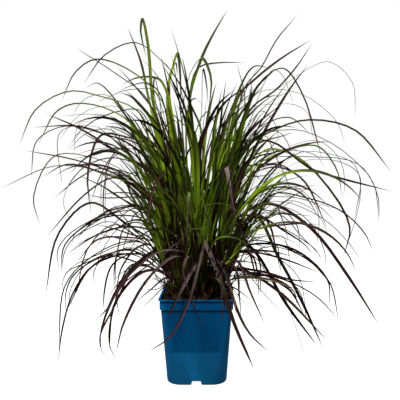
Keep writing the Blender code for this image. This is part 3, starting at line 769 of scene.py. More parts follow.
bpy.ops.object.select_all(action="DESELECT")
bpy.ops.mesh.primitive_ico_sphere_add(subdivisions=5, radius=CROWN_RADIUS)
mound = bpy.context.object
edit(mound)
bpy.ops.mesh.bisect(plane_co=(0, 0, 0), plane_no=(0, 0, 1), clear_inner=True, use_fill=True)
done()
mound.scale.z = CROWN_HEIGHT / CROWN_RADIUS
mound.location.z = SOIL_TOP
only(mound)
bpy.ops.object.transform_apply()
roughen(mound, TUFT_SIZE, TUFT_DETAIL, TUFT_HEIGHT, TUFT_LEVEL)
mound.data.uv_layers.active.name = "UVMap"
coat(mound, leaf)
for point in mound.data.attributes.new("tint", "FLOAT_COLOR", "POINT").data:
    point.color = CROWN_TINT

dice = random.Random(CROWN_SEED)
copies = [mound]
for number in range(STUB_COUNT):
    around = dice.uniform(0, 2 * math.pi)
    out = math.sqrt(dice.random())
    spot = Vector((math.cos(around), math.sin(around), 0)) * out * STUB_SPREAD * CROWN_RADIUS
    spot.z = SOIL_TOP + CROWN_HEIGHT * math.sqrt(1 - (out * STUB_EDGE) ** 2) - STUB_ROOT
    length = dice.choice([dice.uniform(*lengths) for lengths in STUB_LENGTHS]) * MM
    lean = Vector((spot.x, spot.y, 0)) * dice.uniform(*STUB_LEANS) / CROWN_RADIUS
    bent = Vector((wobble(dice, STUB_BEND), wobble(dice, STUB_BEND), 0))
    end = spot + (Vector((0, 0, 1)) + lean).normalized() * length
    middle = spot.lerp(end, 0.5) + bent * length
    wide = dice.uniform(*STUB_WIDTHS) * MM
    copies.append(bend_copy(fine_leaf, smooth_curve([spot, middle, end]),
                            lambda share: wide * (1 - STUB_NARROWING * share ** 3),
                            dice.uniform(0, 180), wobble(dice, STUB_TWIST),
                            (*STUB_PURPLE, dice.choice(STUB_DRYNESS), 0.0, dice.random())))
for number in range(WISP_COUNT):
    around = dice.uniform(0, 2 * math.pi)
    out = dice.uniform(*WISP_STARTS)
    ahead = Vector((math.cos(around), math.sin(around), 0))
    spot = ahead * out * CROWN_RADIUS
    spot.z = SOIL_TOP + CROWN_HEIGHT * math.sqrt(max(0, 1 - out ** 2)) + WISP_LIFT
    aside = ahead.cross(Vector((0, 0, 1))) * wobble(dice, WISP_ASIDE) * MM
    end = spot + ahead * dice.uniform(*WISP_AHEAD) * MM + aside
    limit = BAND_HALF - RIM_CLEARANCE
    end.x = max(-limit, min(limit, end.x))
    end.y = max(-limit, min(limit, end.y))
    end.z = SOIL_TOP + dice.uniform(*WISP_ENDS) * MM
    middle = spot.lerp(end, 0.5) + Vector((0, 0, dice.uniform(*WISP_ARCHES) * MM))
    wide = dice.uniform(*WISP_WIDTHS) * MM
    copies.append(bend_copy(fine_leaf, smooth_curve([spot, middle, end]),
                            lambda share: wide * (1 - share ** 3) + WISP_LEAST_WIDTH,
                            dice.uniform(0, 180), wobble(dice, WISP_TWIST),
                            (*WISP_PURPLE, dice.uniform(*WISP_DRYNESS), 0.0, dice.random())))
join_as("Clump_base", copies, "crown")


# ------------------------------------------------------------------------------- shoots
# Each shoot is a leafy stem that grows from the crown, with its leaves at joints up the
# stem. Thinner side stems stand beside it, and carry further leaves of the same kind.

CM = 0.01
STEM_FOOT = SOIL_TOP + 7 * MM
STEM_RADIUS = 2.3 * MM
STEM_TOP_RADIUS = 1.6 * MM
STEM_SPACING = 14 * MM
STEM_SHARE = 0.45
STEM_PURPLE = (0.8, 0.4)
SHEATH_FLARE = 0.25
PLANTED_RADIUS = 58 * MM
PLANTED_POWER = 0.6
PLANTING_ROUNDS = 200
HIGHEST_AIM = 0.5
FIRST_DEPTH = 0.3
LEAF_JOINTS = (1.0, 0.82, 0.64)
JOINT_DEPTH = 1.5 * STEM_RADIUS
ROLLS = (30, 47, 64, 81)
# How far a solid's blade may have strayed from its row to find room, and in how many tries
TRIES = 300
STRAY_JOINT = 0.12
STRAY_DEPTH = 90 * MM
STRAY_TURN = 30
STRAY_LENGTH = 0.15
STRAY_ROLL = 60
SAME_POINT = 0.01 * MM
# Where the camera stands, in metres. The rows below give what is seen from there.
EYE = Vector((0.041, -1.1765, 0.467))

# Every shoot has a few blades. A blade is its colour, its width in mm, how far behind the
# middle its tip lies in cm, and the places in cm (across, up) it passes on its way to the tip.
SHOOTS = (
    # tall ones in the middle
    (("fresh", 8, -5, (-10.2, 62.3), (-11.3, 75), (-12.6, 81.4), (-13.1, 79), (-11.7, 72.3)),
     ("green", 7, 8, (-11.2, 63), (-13, 71.5), (-16.1, 79.6)),
     ("purple", 5, 2, (-6.7, 65.3), (-8.5, 73.2))),
    (("fresh", 8, 3, (-7, 62.3), (-6, 69), (-4.6, 73.5), (-4, 69), (-3.8, 60.9)),
     ("fresh", 7, -4, (-3.5, 59.4), (-1.5, 69.5), (1, 72.4), (3.1, 68), (2.5, 60)),
     ("purple", 6, 6, (1, 60), (1.3, 69.9), (2, 67), (2.4, 62))),
    (("fresh", 7, 0, (-1.9, 62.3), (0.8, 72), (3, 76.8), (6.9, 83.6)),
     ("green", 4.5, 10, (-1.5, 66), (0.4, 70.3), (5.7, 71.4), (11, 71.3)),
     ("dark", 9, -8, (1, 53.5), (2.8, 57.6), (5.7, 60.9))),
    (("dark", 14, -10, (0.2, 50), (2.2, 56.8), (5, 62), (8.4, 65.1)),
     ("purple", 4, 4, (10.8, 65.5), (14.6, 70.2), (18.2, 76.7), (23.1, 82.5)),
     ("green", 8, 12, (7, 56), (9.5, 65), (13, 70.5), (17, 70))),
    # high on the left
    (("green", 5, -3, (-7.6, 61.4), (-14.6, 69), (-23.1, 72.2), (-28, 69.3), (-31.4, 62)),
     ("purple", 4, 11, (-11.1, 62.3), (-19, 69), (-28.1, 74.8)),
     ("purple", 4, -9, (-9.5, 59), (-13.1, 64.4), (-18.6, 70.7))),
    (("green", 5, 14, (-3.8, 65.5), (-8.2, 71.7), (-14.3, 76), (-21.5, 73), (-26.2, 66.3)),
     ("green", 6, 18, (-14.5, 55.5), (-19, 63), (-23.1, 66.7), (-26, 65.2)),
     ("green", 5, 2, (-13, 59.5), (-21.9, 63.5), (-29.5, 64.8), (-37.2, 60.6), (-41, 52.2))),
    (("green", 5, -14, (-15, 57), (-25.8, 62), (-32, 60.5), (-36.6, 52.5)),
     ("green", 4, 12, (-17, 52), (-24, 55.7), (-31, 56.7), (-37, 53.3), (-38.2, 44.7)),
     ("green", 3, 22, (-18, 54), (-27, 57), (-31.8, 55), (-31, 42.5))),
    (("purple", 8, 6, (-6.7, 42.8), (-19, 51.2), (-27, 56.2), (-35, 59.7)),
     ("purple", 5, -8, (-13, 52), (-20, 54.5), (-27.3, 56.8), (-38, 56.5)),
     ("purple", 5, -2, (-8.2, 39.6), (-19.9, 46.2), (-28, 49), (-39.8, 51.2))),
    (("purple", 7, -18, (-10, 51.5), (-14.9, 53.8), (-22, 54.8), (-25.2, 46), (-24.4, 36.5)),
     ("purple", 5, 15, (-12, 44), (-22.5, 47), (-27, 45), (-33, 40.2)),
     ("purple", 5, 24, (-10, 45), (-19, 49.5), (-26.3, 47.2), (-30.8, 41.5))),
    # out to the left
    (("green", 7, -4, (-11, 41), (-21.4, 45.8), (-29.9, 48), (-35.8, 45)),
     ("green", 3, 0, (-13, 42), (-22, 46.3), (-33, 47.6), (-45.2, 42.5)),
     ("green", 4, 10, (-14, 44), (-25, 49.8), (-33, 49.8), (-37.7, 40.3), (-36, 33.7))),
    (("purple", 5, -12, (-8, 38), (-14, 43), (-19.5, 44.9), (-26, 41), (-34.8, 31.2)),
     ("purple", 5, 8, (-7, 34), (-13.1, 37.2), (-21, 42.5), (-27.8, 45.7)),
     ("purple", 5, 20, (-7, 38), (-13, 40.3), (-21.4, 40.3), (-26, 41.2))),
    (("purple", 5, 3, (-9, 29.5), (-16, 34), (-24.5, 39.2), (-32, 32), (-35, 17.4)),
     ("purple", 5, -14, (-9, 36), (-13, 38.2), (-21.5, 36.8), (-28.6, 30)),
     ("purple", 4, 16, (-9, 33.5), (-14, 36), (-22.5, 35.5), (-30.5, 29.5), (-31.3, 22.3))),
    (("purple", 5, -7, (-9, 31.5), (-14.6, 33.7), (-22, 32.3), (-30.7, 27)),
     ("purple", 5, -22, (-9.5, 29.8), (-16.1, 31.2), (-23, 30.7), (-28.1, 24.9)),
     ("green", 2.5, 1, (-9.5, 28.5), (-16.1, 30.3), (-25, 26.3), (-30.5, 20), (-31.9, 5.3))),
    (("purple", 5, 24, (-7.5, 24.5), (-11, 26.6), (-16, 27.5), (-24.5, 24.3), (-30, 14.5)),
     ("purple", 6, -12, (-8.5, 28.2), (-11.7, 27), (-18, 20), (-22.3, 9), (-22, 5)),
     ("purple", 4, 28, (-9, 25.8), (-14, 27.6), (-19.5, 25), (-21.5, 18), (-21.4, 13.5))),
    # drooping over the front of the pot, left of the middle
    (("mauve", 5.5, -23, (0, 22), (-4.5, 27), (-11, 22.2), (-17, 11.5), (-18.8, 4)),
     ("mauve", 4.8, -26, (-2, 27), (-8, 28.2), (-16.7, 21.5), (-21, 14.5), (-24, 11.7)),
     ("purple", 4.5, -8, (-5, 22), (-12, 23.5), (-19, 16), (-20.3, 5))),
    (("purple", 4, -15, (-3, 20.7), (-7, 22), (-11, 19), (-14.6, 16)),
     ("dusky", 6, -19, (1, 26), (-0.3, 25), (-4, 18.5), (-7.1, 12.3)),
     ("dusky", 5, -16, (-2, 27), (-3.3, 24.5), (-2.3, 19))),
    (("mauve", 4.5, -24, (1.5, 30), (0.5, 25.5), (-2.6, 15), (-6.5, 8.2), (-12, 4.6)),
     ("green", 3, -17, (4, 22), (6, 19.5), (6.2, 16), (5.7, 12.2)),
     ("green", 4, -18, (1, 40), (1.9, 37.4), (2.6, 34.5), (5.1, 32.2))),
    # high on the right
    (("purple", 7, -6, (9.4, 63.5), (12.9, 67.3), (19.3, 72.4), (26.1, 76.6)),
     ("purple", 6, 9, (11.7, 60), (18.2, 65.3), (22.8, 70.5), (26.4, 76)),
     ("green", 1.8, 5, (12, 60), (20, 66.3), (30, 71.6), (35.6, 66.8), (36.2, 58.4))),
    (("purple", 5, -13, (11, 58), (14.5, 67), (19.6, 70.1), (24, 64.5), (28.7, 48.8)),
     ("purple", 9, 2, (11, 47), (14.9, 54.7), (21, 65), (25.5, 71)),
     ("purple", 9, 16, (8, 49), (12.8, 56.3), (19.3, 61.9))),
    (("fresh", 7, 1, (7.9, 49.1), (15.8, 55), (25, 58.2), (36, 56), (44.5, 46.3)),
     ("green", 4, -7, (10, 52.5), (21.1, 56.2), (31, 53.3), (41.6, 44.2)),
     ("green", 2, 13, (7, 58), (15, 64.9), (24, 64.1), (32, 57.8), (34, 52.4))),
    # out to the right
    (("purple", 7, -2, (10, 52.5), (17, 53.2), (26, 47), (34, 44.5), (44.7, 41.8)),
     ("green", 5, -17, (13, 47), (20, 51), (27.5, 52.2), (32, 46.8), (33.2, 40.3)),
     ("purple", 6, -24, (12, 45), (18, 47.4), (24, 44.7), (30, 33))),
    (("green", 7, 10, (9, 32), (13.8, 42.8), (18.2, 47.8), (24.6, 51.3)),
     ("green", 6, -10, (15, 51), (22, 50.2), (30, 42.8), (35, 33.5), (33.1, 25.8)),
     ("purple", 3, 6, (14, 48), (26, 49.7), (37, 48), (41.4, 41), (41.6, 34.3))),
    (("purple", 7, -3, (8, 34), (16, 39), (26, 33.4), (34.6, 22.3), (42, 10.6)),
     ("purple", 4, 14, (17, 41), (25, 40.3), (33, 37.3), (38.4, 32.2), (40.6, 27.3)),
     ("purple", 3, 20, (20, 47), (31, 49), (37.2, 45.5), (36, 35.2))),
    (("purple", 6, -11, (9, 30.5), (13.8, 33.1), (22, 34.3), (28.4, 34.2)),
     ("purple", 6, 18, (9.5, 36), (13.8, 38.5), (20, 40.5), (26.4, 41.6)),
     ("mauve", 6, -20, (8.5, 27.3), (12, 28.1), (17, 28), (22.1, 26.8))),
    (("purple", 5, -5, (8.5, 27.3), (12, 27.9), (20, 26.2), (28.4, 22.9)),
     ("purple", 5, 11, (9, 28.2), (14, 29.8), (22.5, 28.3), (29.9, 21.4), (30.3, 15)),
     ("purple", 3, 22, (10.5, 30), (20, 29), (30, 21.5), (32.5, 11.7))),
    (("purple", 6, -14, (6.5, 23.7), (10, 24), (15.2, 23.3), (21.5, 21.5), (27.8, 21)),
     ("straw", 6, -21, (7.5, 21.4), (12, 22), (18.2, 21.1), (22.4, 18.9)),
     ("purple", 5, 26, (8, 22.3), (14, 23), (21, 19.3), (24.6, 13.2))),
    (("green", 6, 4, (9, 33), (13.5, 36), (18.4, 27), (23.5, 17.5), (29.1, 5.3)),
     ("purple", 6, 15, (6.5, 31.2), (9, 31.3), (13.5, 27.6), (20, 16.5), (27.8, 5.9)),
     ("purple", 6, -15, (7, 23.2), (10.8, 23.5), (19, 18.5), (30, 7.3))),
    # drooping over the front of the pot, right of the middle
    (("purple", 6, -13, (5.5, 46), (7, 46.6), (8.4, 38.5), (12.5, 26), (14.1, 18.8)),
     ("dusky", 5.5, -16, (-1.5, 32.5), (1, 31), (5.4, 20.8), (8.4, 11.5), (13, 0.9)),
     ("purple", 5.5, -20, (4, 26.5), (6.7, 22.5), (9, 14.8), (12, 9.1), (16.6, 4.7))),
    (("purple", 5, -21, (7, 26), (9.4, 25.5), (12, 19), (15.5, 11.2)),
     ("purple", 4, -12, (5, 20.5), (8.5, 19.6), (12.7, 16.4)),
     ("purple", 4, -25, (6.5, 25), (8.8, 23.7), (9.6, 18), (10, 12.9))),
    # the longest ones to the front and to the back
    (("purple", 6, -42, (-4, 37), (-7, 46), (-9.5, 44), (-12, 33)),
     ("green", 6, 42, (-3, 44), (-5.5, 53), (-8, 53.5), (-9.5, 45)),
     ("green", 6, -30, (-3, 50), (-5, 58), (-7, 57), (-8.5, 50))),
)

# Finer leaves grow from the stems too. Their rows are written as the blades above.
FINE_LEAVES = (
    # high on the left
    ("purple", 4, -6, (-7.5, 61), (-9.3, 65.2), (-11.7, 66.7), (-15, 66.2), (-18.5, 64.6)),
    ("fresh", 12, -3, (-5.9, 59.5), (-7, 64.5), (-8.5, 67.3), (-10, 68), (-14, 67.9),
     (-17.5, 66.2)),
    ("fresh", 18, -4, (-10, 57), (-11.6, 59.8), (-13.4, 61.7), (-15.2, 63.5), (-18, 64.6)),
    ("green", 11, -5, (-9.5, 50.4), (-14.6, 56.8), (-20.1, 63.7)),
    ("green", 9, -3, (-8, 50), (-11.8, 54.1), (-16, 56.5), (-20.1, 58.2)),
    ("purple", 2.5, 9, (-6.5, 63.5), (-9, 68), (-11.5, 71), (-13, 72.2)),
    ("fresh", 15, 5, (-6.6, 62), (-6.2, 69), (-5, 71.3), (-4.6, 68)),
    ("purple", 3, 12, (-10, 64.9), (-14, 65.3), (-17, 64.9), (-21, 63.2), (-24, 61.8)),
    ("purple", 2.5, 18, (-20, 63.5), (-24.5, 63.7), (-27, 62), (-29, 58.5)),
    ("green", 6, -7, (1, 55), (-1.7, 61.9), (-4.9, 67.8), (-8.2, 72.2)),
    # high in the middle and on the right
    ("fresh", 11, -9, (4.3, 58.8), (6.3, 62.2), (9.3, 64.6), (12, 66.2)),
    ("fresh", 9, -4, (4.9, 55.6), (6.6, 57.9), (9.8, 60.7), (12.3, 63)),
    ("fresh", 15, -7, (8, 50.7), (9.5, 55.3), (11.2, 60), (12.8, 66)),
    ("fresh", 15, 3, (8.3, 52), (10.2, 57.5), (11.9, 63), (12.6, 67.3)),
    ("fresh", 18, -10, (9.3, 53.4), (11.6, 61.2), (13.7, 65.8), (18, 69.9)),
    ("fresh", 13, -12, (-0.5, 54.5), (-1.7, 57), (-3.2, 59.4), (-5, 61.8)),
    ("fresh", 11, 8, (6.6, 50.1), (7.2, 53.9), (8.5, 57.6), (10, 63.3)),
    ("fresh", 12, -3, (8.3, 49.3), (11.5, 51.8), (13.2, 54.1), (15, 56.4), (17.5, 58)),
    ("fresh", 10, 6, (6.5, 57), (8.5, 60.5), (11, 63.3), (13.5, 64.5)),
    ("green", 6, 2, (11, 58.5), (13, 61.5), (16, 63.5), (19.5, 63.8)),
    ("purple", 3, 7, (10.8, 60), (10.7, 65), (9.9, 68), (9, 71.3)),
    ("green", 5, -5, (-2.5, 58), (-1.3, 62.8), (-0.3, 63.1), (2.2, 59.8)),
    ("purple", 2, 3, (15, 66), (17.5, 69.8), (19.5, 68.5), (21, 65), (22.3, 61)),
    ("green", 7, 7, (9.8, 47.8), (12.1, 51.3), (14.4, 53), (20.1, 54.7), (22.4, 55.6)),
    ("purple", 7, -4, (10.6, 47.5), (13.2, 49.5), (15.5, 50.3), (21, 51.3)),
    ("green", 6, 4, (9.8, 47), (12.6, 47.8), (18.4, 48.4), (22.4, 50.1)),
    ("purple", 3, -8, (10, 45), (13, 45.2), (16, 45.5), (20, 46.5)),
    ("green", 5, 2, (13, 37), (15.5, 38.8), (17.2, 40.9), (19.5, 41.8), (22.4, 42.7)),
    ("purple", 2, -2, (14.4, 60.2), (16.7, 59), (17.8, 57.3), (18.4, 55.3), (18.5, 52.4)),
    ("green", 3, -10, (15.5, 54.5), (17.8, 50.1), (19.5, 46.7), (21, 43.2), (21.6, 40.3)),
    # out to the left, high up
    ("purple", 2, 14, (-17, 60.5), (-22, 61.3), (-26, 60), (-29.5, 57), (-31.8, 53)),
    ("purple", 2, 10, (-18, 58), (-24, 59.5), (-31.5, 59)),
    ("purple", 4, -5, (-13, 60.2), (-18, 60.2), (-23, 58.5), (-26.5, 56), (-29, 53.5)),
    ("purple", 2.5, 8, (-18, 58), (-22.5, 58.5), (-26, 56.5), (-30, 51.5)),
    ("purple", 3, -3, (-19, 55.5), (-23, 56), (-26.5, 54.5), (-30, 50.8)),
    ("purple", 2, 20, (-23, 57), (-27, 57.5), (-28.2, 54), (-28.1, 49.5)),
    ("purple", 5, -11, (-14, 50), (-19, 51.6), (-23.5, 50.2), (-28.8, 49.3)),
    ("purple", 2.5, 12, (-13, 50.5), (-18, 51.8), (-24, 51.4), (-28.5, 50)),
    ("mauve", 4, -16, (-14, 49), (-17.5, 51.6), (-19.8, 49.7), (-22.5, 45), (-24.6, 39)),
    ("purple", 4, -19, (-14, 46), (-18, 50.3), (-20, 49), (-21.3, 44), (-21.7, 39),
     (-20.9, 33)),
    # out to the left, halfway up
    ("purple", 3, 10, (-20, 36.5), (-25, 34.8), (-30, 31.5), (-32.2, 28), (-31.6, 22.8)),
    ("purple", 3, 2, (-20, 34.8), (-25, 33.2), (-29, 30.5), (-30.8, 27), (-30.8, 22)),
    ("purple", 4, -8, (-13.8, 38.7), (-17.8, 37.5), (-23.5, 35.4), (-28.3, 31.8), (-29, 28.5)),
    ("purple", 4, 5, (-14, 37), (-18.5, 37), (-22.5, 35.3), (-28.8, 31)),
    ("purple", 5, -10, (-13, 34.5), (-19, 33.2), (-24.5, 31.2), (-29, 28.8)),
    ("purple", 5, -8, (-12, 31), (-15, 31.8), (-18.5, 33), (-22, 33.9), (-24, 34.1)),
    ("purple", 4, -12, (-13, 30.2), (-16.6, 30.7), (-20, 31.4), (-24, 32.4)),
    ("green", 3, 4, (-13, 30), (-18, 29.4), (-23, 27.2), (-28, 25), (-30.5, 22.8)),
    ("purple", 3, -3, (-14, 27), (-18, 27.5), (-22, 26.6), (-26.5, 24.9), (-28.5, 23.2)),
    ("purple", 1.8, 16, (-22, 48.5), (-26.5, 47), (-29.5, 43.5), (-30.8, 39), (-28.5, 33.5)),
    ("purple", 2, -15, (-19, 47), (-21.5, 46), (-22.2, 41), (-22.1, 36.5)),
    ("purple", 2, -11, (-18, 46), (-20.5, 45.5), (-21.2, 40), (-21.1, 33.8)),
    ("green", 4, -8, (-12, 31), (-14.3, 32.6), (-16.4, 35.2), (-18.4, 37.8), (-19.9, 39.6)),
    ("purple", 3, -14, (-12, 37.5), (-14.5, 36.4), (-16, 32), (-17, 28.9), (-17.3, 25.5)),
    ("purple", 3, -6, (-14, 33), (-16.8, 33.3), (-18.2, 29), (-18.9, 24), (-18.6, 18.5)),
    # low on the left
    ("green", 3, 4, (-14, 28.5), (-20, 27.5), (-26.5, 25), (-29.8, 23.4), (-31, 20.8),
     (-30.7, 17.8)),
    ("purple", 4, -3, (-20, 27), (-25.5, 25), (-29, 21.8), (-30.4, 17.5), (-30, 12.8)),
    ("purple", 3.4, 1, (-16, 28.5), (-24.7, 24.2), (-27.5, 20.5), (-29.3, 16.8), (-31.2, 9.5),
     (-32.1, 1.8)),
    ("purple", 2, 10, (-19, 27), (-22.5, 25.5), (-24, 22.5), (-23.3, 20.8), (-22, 20.3)),
    ("purple", 3, 18, (-15, 29), (-18.3, 27.5), (-19.2, 23), (-18.9, 18.5)),
    ("purple", 2.5, 6, (-13, 25), (-17, 22), (-19.5, 19), (-21.5, 16.3)),
    ("purple", 3, -14, (-13, 26), (-17.5, 21), (-18.6, 18.5), (-18.4, 15.5), (-17.6, 12.3)),
    ("purple", 4, -10, (-11, 29.5), (-14.3, 28.6), (-16.4, 26), (-17.8, 23.4), (-18.9, 17)),
    ("purple", 2.5, -4, (-11, 25), (-14.3, 24.6), (-16.4, 23.7), (-18.7, 22), (-20, 20)),
    ("purple", 2, 5, (-11.5, 24.6), (-14.3, 25.7), (-16.4, 25.4), (-18.6, 25.7)),
    ("mauve", 3, -21, (-4, 30), (-8.6, 26.6), (-12.9, 23.7), (-17.2, 20.3), (-20, 14)),
    ("purple", 3, -9, (-7.5, 20.3), (-9, 19.4), (-11, 19.2), (-12.8, 19.5)),
    ("purple", 2.5, -14, (-3, 22), (-2, 19), (-1.1, 16), (1.1, 10.6)),
    ("green", 5, -14, (-6, 20.4), (-8.6, 21.1), (-10.7, 22.1)),
    ("green", 4, -11, (-5, 23), (-7.5, 24.5), (-9.9, 27)),
    ("purple", 3.2, -13, (-14, 24.5), (-19, 15.5), (-22.4, 8.5), (-22, 5.2), (-20.5, 3.4)),
    ("purple", 2.8, -10, (-15, 25), (-19.5, 14), (-20.3, 7), (-18.5, 2.5)),
    ("purple", 2, 6, (-14, 28), (-25, 25.5), (-29.5, 17), (-26.5, 14.6)),
    # in the middle, left half
    ("green", 8, -4, (-9.5, 47), (-11, 53), (-12.3, 57.8), (-14, 60.4), (-15.5, 60.3)),
    ("green", 7, 2, (-10.5, 50), (-12.5, 54.8), (-14.8, 58.5), (-16.8, 60.2)),
    ("purple", 5, -6, (-13, 51.5), (-15.5, 55), (-18.5, 57.3), (-21, 57.2)),
    ("green", 7, -8, (-14, 48), (-16.5, 51.5), (-18.8, 54.5), (-20.3, 57)),
    ("green", 8, -10, (-9.5, 46), (-12, 50), (-14.5, 52), (-17.2, 52.6)),
    ("green", 5, 3, (-11, 40), (-13, 44), (-15.5, 47.5), (-19, 50.2)),
    ("green", 7, -12, (-12.5, 36), (-14, 38.9), (-15.2, 40.9), (-17, 44.8), (-20.5, 47.3)),
    ("purple", 6, -5, (-8.5, 38.5), (-12, 42), (-16, 45), (-20, 46.5)),
    ("purple", 5, -3, (-11, 36.5), (-15, 38.8), (-19, 41), (-23, 43.8)),
    ("fresh", 11, -6, (-4.8, 50), (-5.3, 54), (-6.2, 58.5), (-7, 62)),
    ("purple", 2.5, -16, (-2.5, 44), (-5, 46.3), (-8.5, 47.9)),
    ("dark", 10, -10, (-4.9, 39.8), (-10.4, 45.8), (-20, 51.7), (-27, 55.5)),
    ("dark", 9, -12, (-4.9, 35.7), (-10.9, 39.8), (-17.3, 44.9), (-25, 48.5)),
    # in front of the middle
    ("pale", 17, -20, (5.9, 46.6), (6.5, 47.3), (7, 45.5), (7.6, 41.5), (8.3, 37.5), (9, 34)),
    ("green", 3, -20, (0, 37), (1.3, 39.2), (2, 37), (4.5, 32.5)),
    ("green", 4.5, -15, (2.9, 28.3), (4.5, 30.9), (7, 31.4), (10.3, 30.3), (13, 26.5)),
    ("green", 3, -19, (1.2, 33), (0.1, 34.9), (0.9, 36.3), (1.7, 35)),
    ("green", 5, -12, (6, 31), (8.6, 32.9), (12.1, 34.9), (13.8, 36.1)),
    # out to the right
    ("purple", 2, 15, (11, 60), (19, 61.9), (23, 61.5), (25.5, 59.5), (26.2, 56), (27, 52.5)),
    ("green", 5, 9, (11, 53), (15, 57), (21, 58.8), (24.4, 56.5), (25.8, 54.5)),
    ("purple", 3, 4, (12, 53), (22, 56), (30, 53.3), (36.5, 48.5), (40.5, 43.5), (41.7, 35)),
    ("purple", 2, 18, (22, 50), (30, 50.5), (36, 48), (37.5, 43), (36.5, 36), (33.3, 26.5)),
    ("purple", 2.5, 14, (18, 50), (27, 53.5), (31, 51.3), (33.3, 47.6), (33.8, 43),
     (33.5, 40)),
    ("purple", 2.5, -5, (15, 55), (18.5, 55.5), (21, 52.4), (21.6, 48)),
    ("purple", 6, 6, (10, 47), (14, 50.5), (19.5, 51.3)),
    ("purple", 3, 8, (15, 48), (20, 51), (24.1, 51), (27.6, 49.8), (29.2, 47)),
    ("green", 3, -3, (13, 40), (17, 43.2), (21.8, 44.7), (25.5, 45.5)),
    ("green", 3, 6, (12, 38.5), (16, 41.5), (21.8, 42.4), (28.2, 42)),
    ("purple", 3, 5, (17, 41.5), (22, 42.8), (28.3, 43.2)),
    ("purple", 4, 8, (12, 37.5), (18, 37), (27, 36)),
    ("purple", 3, 12, (14, 39.5), (21, 40.5), (27, 39), (31.8, 34.8)),
    ("purple", 2, 6, (14, 42), (22, 40.5), (33, 37.5)),
    ("purple", 2.5, 9, (12, 38), (19, 39.5), (24.7, 37.8), (30.5, 34.3), (35.1, 29.5),
     (38.2, 24.9)),
    ("purple", 6, 0, (9.5, 36.1), (12.9, 36), (15.5, 35.5), (20.1, 32.6), (24.5, 29.7),
     (27, 26.5)),
    ("purple", 5, -9, (12, 36.3), (15, 36), (16.7, 33.8), (17.8, 29.5), (19.1, 23.1)),
    ("purple", 5, -13, (9, 30.2), (10.9, 31.2), (13.3, 32.3)),
    ("purple", 3, 4, (9, 30), (10.6, 30.9), (13.2, 31.3), (16, 30.6)),
    ("purple", 3, -6, (9, 29), (13.2, 29.6), (17.5, 28.3)),
    ("purple", 3, 6, (12, 34), (16.1, 35.5), (18.7, 36.6), (22, 36.4)),
    ("green", 4, -4, (14, 34.5), (19, 36.8), (21.3, 36.6), (23.6, 35.5), (25, 34)),
    ("purple", 3, 14, (13, 36), (19, 36.4), (24.1, 31.2), (28.2, 26.9), (28.7, 24.8)),
    ("purple", 3, 2, (14, 34), (19, 33.5), (24.7, 30.3), (27.5, 28), (28.4, 25.5)),
    ("purple", 3, 18, (18, 38), (22, 37.5), (26, 34.5), (28.2, 30.6), (29.4, 27), (29.3, 23.7)),
    ("purple", 2, -12, (18, 42.5), (23, 42.5), (27.3, 38.1), (27.9, 33), (26.7, 27.2)),
    ("purple", 2, 16, (20, 39.5), (26, 38), (28.7, 34.9), (29.6, 32.9), (29.7, 30.5)),
    ("purple", 3, -16, (15, 37), (20, 37), (22.8, 34), (23.4, 31.2), (23.3, 28)),
    ("purple", 4, -14, (14, 38.5), (17.8, 38.8), (19.3, 35.8), (20.4, 32.8), (20.8, 29.5)),
    # low on the right
    ("purple", 4, 10, (10, 27), (12.5, 27), (13.8, 23.1), (14.1, 20.6), (13.8, 16.8)),
    ("purple", 3, -11, (9.5, 28), (13, 28), (14.4, 24.9), (14.5, 20.5), (14.2, 16.5)),
    ("purple", 3, 12, (15, 29), (18, 29.5), (18.9, 26), (19.1, 22.3)),
    ("purple", 4, 12, (8, 25.5), (9.5, 25.8), (12.1, 25.5), (15, 25.1)),
    ("purple", 5, -17, (7.5, 25.5), (9, 23.5), (9.6, 19.5), (8.9, 16.5)),
    ("purple", 2, 8, (16, 31), (19.5, 31.5), (20.9, 28), (21.1, 22.5)),
    ("purple", 3, 12, (15, 22.5), (20, 20.7), (22.3, 18.5), (22.7, 16.2), (21.7, 14.6)),
    ("purple", 2.5, 15, (15, 28.8), (20, 28.6), (26, 25.5), (30.2, 21.1), (32.8, 19)),
    ("purple", 2, 9, (18, 22), (23, 19.5), (24.7, 14.5), (24.9, 10.5)),
)

# The other shoots fan out in the middle, and to the front and the back. Each row: how many,
# how far round they spread from front and back, the lean of the stem and of a blade's start
# from the vertical, the angle a blade ends at, and a blade's length in cm, from and to.
FAN = (
    (6, 90, 5, 8, 60, 34, 44),
    (6, 60, 13, 20, 112, 38, 48),
    (6, 50, 20, 34, 140, 34, 44),
)
FAN_SEED = 7
FAN_TONES = ("green", "green", "purple")
FAN_HEIGHT = 0.32
FAN_WIDTHS = (6, 9)
FAN_STARTS = (0.6, 1.4)
FAN_ENDS = (0.75, 1.2)
SHOOT_SWING = 8
BLADE_SWING = 28
OUTER_LEAN = 24
ARCH_STEPS = 24
ARCH_POWER = 1.6

# How purple each kind of blade is at its foot, where it has turned and at its tip, how dry
# it is, and how strong its painted sheen is
TONES = {
    "fresh": (1.0, 0.0, 0.55, 0.0, 0.0),
    "green": (1.0, 0.0, 0.8, 0.0, 0.0),
    "purple": (1.0, 0.5, 1.2, 0.0, 0.0),
    "dark": (1.0, 1.0, 1.2, 0.0, 0.0),
    "mauve": (1.0, 1.0, 1.05, 0.0, 1.2),
    "dusky": (1.0, 1.0, 1.0, 0.03, 2.0),
    "pale": (1.0, 1.0, 1.0, 0.0, 3.0),
    "straw": (0.8, 0.8, 0.8, 0.35, 0.0),
    "core": (2.2, 0.0, 0.6, 0.0, 0.0),
}
# How far each of these varies from leaf to leaf: down and up, and the painted sheen by a factor
FOOT_VARIES = (-0.2, 0.3)
TURNED_VARIES = (-0.1, 0.2)
TIP_VARIES = (-0.3, 0.2)
PAINTED_SHEEN_VARIES = (0.7, 1.2)
# Leaves whose tips hang lower than this are more purple by so much.
LOW_TIP = 0.25
LOW_PURPLE = 0.35

